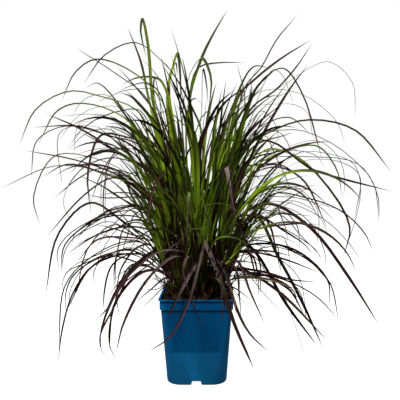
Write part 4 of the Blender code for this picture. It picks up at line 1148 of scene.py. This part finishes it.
# A leaf whose tip hangs on the table is wider than its row says by the first factor, and one
# whose tip is at HIGH_TIP or higher by the second. From NEAR_TIP out to FAR_TIP from the
# middle, leaves thin down by FAR_WIDTH.
LOW_WIDTH = 1.95
HIGH_WIDTH = 0.94
HIGH_TIP = 0.36
FAR_WIDTH = 0.67
NEAR_TIP = 0.12
FAR_TIP = 0.3
FOOT_WIDTH = 0.4
FOOT_WIDENING = 2.5
LEAST_WIDTH = 0.3 * MM
LEAST_TAPER = 30 * MM
MOST_TAPER = 0.85
TAPER_RATE = 13
POINTED = 0.7
BLUNT = 0.4
# The share of its length at which a leaf's flat side turns to the eye
FACING = 0.75

# The finer growth of a shoot. Starts and heights are shares of a stem's length. Rolls, twists,
# turns, leans and bends are in degrees, and the core's swing is in radians. What lies beside a
# stem and the core's widths are in mm, and lengths and droops are in cm. The sizes and widths
# of a follower are shares of the leaf that it follows.
SHOOT_SEED = 1000
LEAF_ROLL = 20
LEAF_TWIST = 40
FINE_STARTS = (0.7, 0.97)
FINE_ROLL = 30
FINE_WIDTH = 0.9
SIDE_STEMS = 2
SIDE_THICKNESS = 0.7
SIDE_FEET = (4, 8)
SIDE_HEIGHTS = (0.6, 0.9)
SIDE_HEADS = (8, 20)
SIDE_PURPLE = (0.3, 1)
SIDE_TIP_PURPLE = (0, 0.6)
FOLLOWING = 0.05
MORE_FOLLOWING = 0.25
FOLLOWER_STARTS = (0.75, 1)
FOLLOWER_TURNS = (5, 60)
FOLLOWER_SIZES = (0.6, 0.95)
FOLLOWER_DROOPS = (-1, 5)
FOLLOWER_WIDTHS = (0.4, 0.8)
FOLLOWER_ROLL = 40
FOLLOWER_TWIST = 60
CORE_LEAVES = 4
CORE_STARTS = (0.3, 1)
CORE_ASIDE = 12
CORE_LEAN = 0.8
CORE_LEANS_MORE = (-6, 8)
CORE_LEAST_LEAN = 2
CORE_SWING = 0.7
CORE_BENDS = (8, 50)
CORE_LENGTHS = (24, 46)
CORE_SHORTENING = 60
CORE_WIDTHS = (4.5, 7)
CORE_GREEN_SHARE = 0.82
CORE_TURN = 45
REACH = Vector((452, 420, 838)) * MM
TABLE_CLEARANCE = 12 * MM
POT_CLEARANCE = 4 * MM


def seen_at(across, up, depth):
    """The place at this depth that the eye sees at (across, up) of the middle plane."""
    flat = Vector((across, 0, up))
    return EYE + (flat - EYE) * ((depth - EYE.y) / -EYE.y)


def hand_placed():
    """The shoots of the table: where each one aims, and how far out it is planted."""
    shoots = []
    for blades in SHOOTS:
        starts = [seen_at(b[3][0] * CM, b[3][1] * CM, FIRST_DEPTH * b[2] * CM) for b in blades]
        aim = sum(starts, Vector()) / len(starts)
        out = Vector((sum(b[-1][0] + b[3][0] for b in blades), 2 * sum(b[2] for b in blades)))
        rise = (aim.z - STEM_FOOT) / HIGHEST_AIM
        foot = out.normalized() * PLANTED_RADIUS * (1 - rise) ** PLANTED_POWER
        shoots.append({"aim": aim, "blades": blades, "foot": foot})
    return shoots


def fanned(dice):
    """The shoots that fill the clump in the middle, at the front and at the back."""
    shoots = []
    for count, spread_round, lean, start, end, shortest, longest in FAN:
        for index in range(count):
            side = -1 if index % 2 else 1
            swing = spread_round * (2 * ((index // 2) + 0.5) / ((count + 1) // 2) - 1)
            around = math.radians(side * 90 + swing + wobble(dice, SHOOT_SWING))
            out = Vector((math.cos(around), math.sin(around)))
            foot = out * PLANTED_RADIUS * min(1, lean / OUTER_LEAN)
            aim = (foot + out * FAN_HEIGHT * math.tan(math.radians(lean))).to_3d()
            aim.z = STEM_FOOT + FAN_HEIGHT
            blades = []
            for tone in FAN_TONES:
                turned = around + math.radians(wobble(dice, BLADE_SWING))
                blades.append((tone, dice.uniform(*FAN_WIDTHS), turned,
                               start * dice.uniform(*FAN_STARTS), end * dice.uniform(*FAN_ENDS),
                               dice.uniform(shortest, longest) * CM))
            shoots.append({"aim": aim, "blades": blades, "foot": foot})
    return shoots


def arching(start, around, first, last, length):
    """A curve that leaves at one angle from the vertical and bends over to another."""
    curve = [start.copy()]
    for step in range(ARCH_STEPS):
        share = (step + 0.5) / ARCH_STEPS
        angle = math.radians(first + (last - first) * share ** ARCH_POWER)
        out = math.sin(angle) * length / ARCH_STEPS
        curve.append(curve[-1] + Vector((math.cos(around) * out, math.sin(around) * out,
                                         math.cos(angle) * length / ARCH_STEPS)))
    return curve


def plant(shoots):
    """Give each stem a place of its own in the crown, and lean it to where it aims."""
    feet = [shoot["foot"] for shoot in shoots]
    for turn in range(PLANTING_ROUNDS):
        for i, foot in enumerate(feet):
            for j in range(i):
                apart = foot - feet[j]
                short = STEM_SPACING - apart.length
                if short > 0:
                    foot += apart.normalized() * short / 2
                    feet[j] -= apart.normalized() * short / 2
        for foot in feet:
            if foot.length > PLANTED_RADIUS:
                foot *= PLANTED_RADIUS / foot.length
    for shoot in shoots:
        shoot["foot"] = shoot["foot"].to_3d()
        shoot["foot"].z = STEM_FOOT
        shoot["top"] = shoot["foot"].lerp(shoot["aim"], STEM_SHARE)


def placed_curve(start, tip_depth, places):
    """A curve from its start through places of the middle plane, out to a depth at its tip."""
    flat = [Vector((x, z)) * CM for x, z in places]
    spans = [(flat[0] - Vector((start.x, start.z))).length]
    spans += [(q - p).length for p, q in zip(flat, flat[1:])]
    spots = [start]
    for i, spot in enumerate(flat):
        share = sum(spans[:i + 1]) / sum(spans)
        spots.append(seen_at(spot.x, spot.y, start.y + (tip_depth - start.y) * share))
    return smooth_curve(spots)


def blade_curve(shoot, number, blade, stray):
    """The curve of one blade, which may stray a little from where it was meant to go."""
    joint = LEAF_JOINTS[number] - STRAY_JOINT * abs(stray.x)
    start = shoot["foot"].lerp(shoot["top"], joint)
    start -= (shoot["top"] - shoot["foot"]).normalized() * JOINT_DEPTH
    if isinstance(blade[3], tuple):
        return placed_curve(start, blade[2] * CM + stray.y * STRAY_DEPTH, blade[3:])
    around, first, last, length = blade[2:]
    return arching(start, around + math.radians(STRAY_TURN) * stray.y, first, last,
                   length * (1 - STRAY_LENGTH * abs(stray.x)))


def grown_blades(index, shoot):
    """The blades that this shoot's solid has: each of its tips is a point of the solid."""
    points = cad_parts[f"shoot_{index + 1:02d}"].data.vertices
    search = KDTree(len(points))
    for point in points:
        search.insert(point.co, point.index)
    search.balance()
    blades = []
    for number, blade in enumerate(shoot["blades"]):
        dice = random.Random(100 * index + number)
        for attempt in range(TRIES):
            stray = Vector([wobble(dice, 1) for axis in range(3)])
            stray *= attempt / TRIES
            curve = blade_curve(shoot, number, blade, stray)
            if search.find(curve[-1])[2] < SAME_POINT:
                roll = ROLLS[(index - number) % len(ROLLS)] * (-1) ** (index + number)
                blades.append((blade[0], curve, blade[1] * MM, roll + STRAY_ROLL * stray.z))
                break
    return blades


def turned_copy(curve, start, turn, size, droop):
    """A curve like the given one from a new start, turned round the vertical."""
    angle = math.radians(turn)
    spots = []
    for i, spot in enumerate(curve):
        share = i / (len(curve) - 1)
        step = (spot - curve[0]) * size
        spots.append(start + Vector((step.x * math.cos(angle) - step.y * math.sin(angle),
                                     step.x * math.sin(angle) + step.y * math.cos(angle),
                                     step.z - droop * share ** 2)))
    return spots


def has_room(curve):
    """Whether a curve stays off the table and the pot, and within the clump's reach."""
    for spot in curve:
        out = max(abs(spot.x), abs(spot.y))
        if spot.z < TABLE_CLEARANCE or spot.z > REACH.z:
            return False
        if abs(spot.x) > REACH.x or abs(spot.y) > REACH.y:
            return False
        if spot.z < POT_HEIGHT + POT_CLEARANCE and out < LIP_HALF + POT_CLEARANCE:
            return False
    return True


def leaf_breadth(width, curve, pointed):
    """A leaf's width at each share of its length. The less pointed it is, the blunter its tip.

    A wide leaf tapers over a longer stretch. The leaves that hang low are the oldest, and
    have grown the widest, and those that reach far out are the finest.
    """
    length = sum((q - p).length for p, q in zip(curve, curve[1:]))
    width *= LOW_WIDTH + (HIGH_WIDTH - LOW_WIDTH) * min(1, curve[-1].z / HIGH_TIP)
    far = (curve[-1].xy.length - NEAR_TIP) / (FAR_TIP - NEAR_TIP)
    width *= 1 + (FAR_WIDTH - 1) * max(0, min(1, far))
    taper = min(MOST_TAPER, (LEAST_TAPER + TAPER_RATE * width) / length)

    def at(share):
        narrowed = min(1, (1 - share) / taper) ** pointed
        return max(width * min(1, FOOT_WIDTH + FOOT_WIDENING * share) * narrowed, LEAST_WIDTH)
    return at


def facing_roll(curve):
    """The roll that turns a leaf's flat side to the front, far out along its length."""
    spots = spaced(curve, BLADE_STEPS)
    place = round(FACING * BLADE_STEPS)
    along = (spots[place + 1] - spots[place - 1]).normalized()
    run = spots[-1] - spots[0]
    level = Vector((-run.y, run.x, 0)).normalized()
    side = (level - along * level.dot(along)).normalized()
    ahead = spots[place] - EYE
    return math.degrees(math.atan2(-side.dot(ahead), side.cross(along).dot(ahead)))


def tint_of(tone, tip, dice):
    """The tint of one leaf of this kind, a little different each time.

    Those that hang low have turned purple further down.
    """
    foot_purple, turned_purple, tip_purple, dryness, painted_sheen = TONES[tone]
    if tone in ("green", "purple") and tip.z < LOW_TIP:
        turned_purple += LOW_PURPLE
        tip_purple += LOW_PURPLE
    return (foot_purple + dice.uniform(*FOOT_VARIES),
            turned_purple + dice.uniform(*TURNED_VARIES),
            tip_purple + dice.uniform(*TIP_VARIES), dryness,
            painted_sheen * dice.uniform(*PAINTED_SHEEN_VARIES), dice.random())


def leaf_copy(blank, tone, curve, width, roll, twist, dice):
    """One leaf of this kind on a curve. The broad dusky ones have blunt tips."""
    pointed = BLUNT if tone == "dusky" else POINTED
    return bend_copy(blank, curve, leaf_breadth(width, curve, pointed), roll, twist,
                     tint_of(tone, curve[-1], dice))


def stem_copy(foot, head, thickness, purple, tip_purple, chance):
    """A stem of this share of the full thickness, a little wider at each sheath's end."""
    def breadth(share):
        flare = SHEATH_FLARE * math.sin(share * len(LEAF_JOINTS) * math.pi) ** 4
        radius, top_radius = thickness * STEM_RADIUS, thickness * STEM_TOP_RADIUS
        return 2 * (radius + (top_radius - radius) * share) * (1 + flare)
    return bend_copy(stem_blank, [foot, head], breadth, 0, 0,
                     (1.0, purple, tip_purple, 0.0, 0.0, chance))


def main_leaves(index, blades, dice):
    """The shoot's own blades. Those from the table turn their flat side to the front."""
    copies = []
    for tone, curve, width, roll in blades:
        if index < len(SHOOTS):
            roll = facing_roll(curve) + wobble(dice, LEAF_ROLL)
        twist = wobble(dice, LEAF_TWIST)
        copies.append(leaf_copy(wide_leaf, tone, curve, width, roll - twist * FACING, twist, dice))
    return copies


def finer_leaves(foot, head, rows, dice):
    """The leaves of the second table that grow from this stem."""
    copies = []
    for tone, width, tip_depth, places in rows:
        curve = placed_curve(foot.lerp(head, dice.uniform(*FINE_STARTS)), tip_depth, places)
        twist = wobble(dice, LEAF_TWIST)
        roll = facing_roll(curve) + wobble(dice, FINE_ROLL) - twist * FACING
        copies.append(leaf_copy(wide_leaf, tone, curve, FINE_WIDTH * width, roll, twist, dice))
    return copies


def side_growth(index, foot, head, blades, dice):
    """A thinner stem beside the main one, with leaves that follow some of the main blades."""
    around = dice.uniform(0, 2 * math.pi)
    aside = Vector((math.cos(around), math.sin(around), 0))
    side_foot = foot + aside * dice.uniform(*SIDE_FEET) * MM
    side_head = (foot.lerp(head, dice.uniform(*SIDE_HEIGHTS))
                 + aside * dice.uniform(*SIDE_HEADS) * MM)
    copies = [stem_copy(side_foot, side_head, SIDE_THICKNESS, dice.uniform(*SIDE_PURPLE),
                        dice.uniform(*SIDE_TIP_PURPLE), dice.random())]
    for tone, curve, width, roll in blades:
        bushy = index >= len(SHOOTS) or curve[-1].z < LOW_TIP
        if dice.random() > (MORE_FOLLOWING if bushy else FOLLOWING) or tone == "mauve":
            continue
        start = side_foot.lerp(side_head, dice.uniform(*FOLLOWER_STARTS))
        turn = dice.choice((-1, 1)) * dice.uniform(*FOLLOWER_TURNS)
        size = dice.uniform(*FOLLOWER_SIZES)
        follower = turned_copy(curve, start, turn, size, dice.uniform(*FOLLOWER_DROOPS) * CM)
        if has_room(follower):
            copies.append(leaf_copy(fine_leaf, tone, follower,
                                    width * dice.uniform(*FOLLOWER_WIDTHS),
                                    roll + wobble(dice, FOLLOWER_ROLL),
                                    wobble(dice, FOLLOWER_TWIST), dice))
    return copies


def core_leaves(foot, head, dice):
    """The upright leaves that stand close round a stem, in the middle of the clump."""
    stem_way = (head - foot).normalized()
    lean = math.degrees(stem_way.angle(Vector((0, 0, 1))))
    stem_around = math.atan2(stem_way.y, stem_way.x)
    copies = []
    for number in range(CORE_LEAVES):
        start = foot.lerp(head, dice.uniform(*CORE_STARTS)) + Vector(
            (wobble(dice, CORE_ASIDE), wobble(dice, CORE_ASIDE), 0)) * MM
        first = max(CORE_LEAST_LEAN, CORE_LEAN * lean + dice.uniform(*CORE_LEANS_MORE))
        upright = arching(start, stem_around + wobble(dice, CORE_SWING), first,
                          first + dice.uniform(*CORE_BENDS),
                          dice.uniform(*CORE_LENGTHS) * (1 - lean / CORE_SHORTENING) * CM)
        if has_room(upright):
            width = dice.uniform(*CORE_WIDTHS) * MM
            tone = "core" if dice.random() < CORE_GREEN_SHARE else "purple"
            copies.append(leaf_copy(fine_leaf, tone, upright, width,
                                    facing_roll(upright) + wobble(dice, CORE_TURN),
                                    wobble(dice, LEAF_TWIST), dice))
    return copies


shoots = hand_placed() + fanned(random.Random(FAN_SEED))
plant(shoots)
for shoot in shoots:
    shoot["fine"] = []
for tone, width, tip_depth, *places in FINE_LEAVES:
    goal = seen_at(places[0][0] * CM, places[0][1] * CM, FIRST_DEPTH * tip_depth * CM)
    nearest = min(shoots, key=lambda shoot: (shoot["aim"] - goal).length)
    nearest["fine"].append((tone, width * MM, tip_depth * CM, places))
for index, shoot in enumerate(shoots):
    dice = random.Random(SHOOT_SEED + index)
    foot, head = shoot["foot"], shoot["top"]
    blades = grown_blades(index, shoot)
    copies = [stem_copy(foot, head, 1, *STEM_PURPLE, dice.random())]
    copies += main_leaves(index, blades, dice)
    copies += finer_leaves(foot, head, shoot["fine"], dice)
    for number in range(SIDE_STEMS):
        copies += side_growth(index, foot, head, blades, dice)
    copies += core_leaves(foot, head, dice)
    shoot_node = f"shoot_{index + 1:02d}"
    join_as(shoot_node.capitalize(), copies, shoot_node)

for blank in (wide_leaf, fine_leaf, stem_blank):
    bpy.data.objects.remove(blank, do_unlink=True)


# ------------------------------------------------------------------------------- studio
# A plain floor and background that the camera sees as white, but that give little light
# back. Soft lamps hang above, at both sides and behind, and a level camera stands in front.

FLOOR_SIZE = 40
FLOOR_COLORS = ((0.11, 0.11, 0.11, 1), (0.13, 0.13, 0.13, 1))
FLOOR_PATCH = 1.5
FLOOR_GRAIN = 0.01
WHITE = (1, 1, 1, 1)
BACKGROUND_GLOW = (0.01, 0.03)
# Each lamp's name, place, width and power in watts
LAMPS = (
    ("Overhead", (-0.5, -1.2, 2.3), 0.6, 215),
    ("Left", (-1.9, 0.2, 1.0), 0.9, 16),
    ("Right", (1.9, 0.0, 1.0), 0.9, 24),
    ("Behind", (0.5, 1.8, 1.6), 0.9, 60),
)
LAMPS_AIM = Vector((0, 0, 0.4))
FOCAL_PIXELS = 512
PHOTO_SIZE = 400
SEEN_CENTRE = (215.34, 170)

bpy.ops.object.select_all(action="DESELECT")
bpy.ops.mesh.primitive_plane_add(size=FLOOR_SIZE)
floor = bpy.context.object
floor.name = "Floor"
pale, tree, shader = start_material("Pale floor", Roughness=0.9, Specular_IOR_Level=0.1,
                                    Emission_Color=WHITE)
patches, grain = mottled(tree, FLOOR_PATCH, FLOOR_GRAIN)
wire(shader, Base_Color=mix_colors(tree, patches, *FLOOR_COLORS),
     Emission_Strength=node(tree, "ShaderNodeLightPath").outputs["Is Camera Ray"])
coat(floor, pale)

world = bpy.data.worlds.new("Studio")
bpy.context.scene.world = world
world.use_nodes = True
tree = world.node_tree
sky = node(tree, "ShaderNodeTexCoord").outputs["Generated"]
ahead = node(tree, "ShaderNodeSeparateXYZ", {0: sky}).outputs["Y"]
glow = spread(tree, ahead, -1, 1, *BACKGROUND_GLOW)
seen = node(tree, "ShaderNodeLightPath").outputs["Is Camera Ray"]
wire(tree.nodes["Background"], Strength=calc(tree, "MAXIMUM", seen, glow))
tree.nodes["Background"].inputs["Color"].default_value = WHITE

for name, spot, width, power in LAMPS:
    light = bpy.data.lights.new(name, "AREA")
    light.size = width
    light.energy = power
    lamp = bpy.data.objects.new(name, light)
    lamp.location = spot
    lamp.rotation_euler = (LAMPS_AIM - lamp.location).to_track_quat("-Z", "Y").to_euler()
    bpy.context.scene.collection.objects.link(lamp)

lens = bpy.data.cameras.new("Camera")
lens.lens = lens.sensor_width * FOCAL_PIXELS / PHOTO_SIZE
lens.shift_x = (PHOTO_SIZE / 2 - SEEN_CENTRE[0]) / PHOTO_SIZE
lens.shift_y = (SEEN_CENTRE[1] - PHOTO_SIZE / 2) / PHOTO_SIZE
camera = bpy.data.objects.new("Camera", lens)
camera.location = EYE
camera.rotation_euler.x = math.radians(90)
bpy.context.scene.collection.objects.link(camera)
bpy.context.scene.camera = camera
bpy.context.scene.view_settings.view_transform = "Standard"
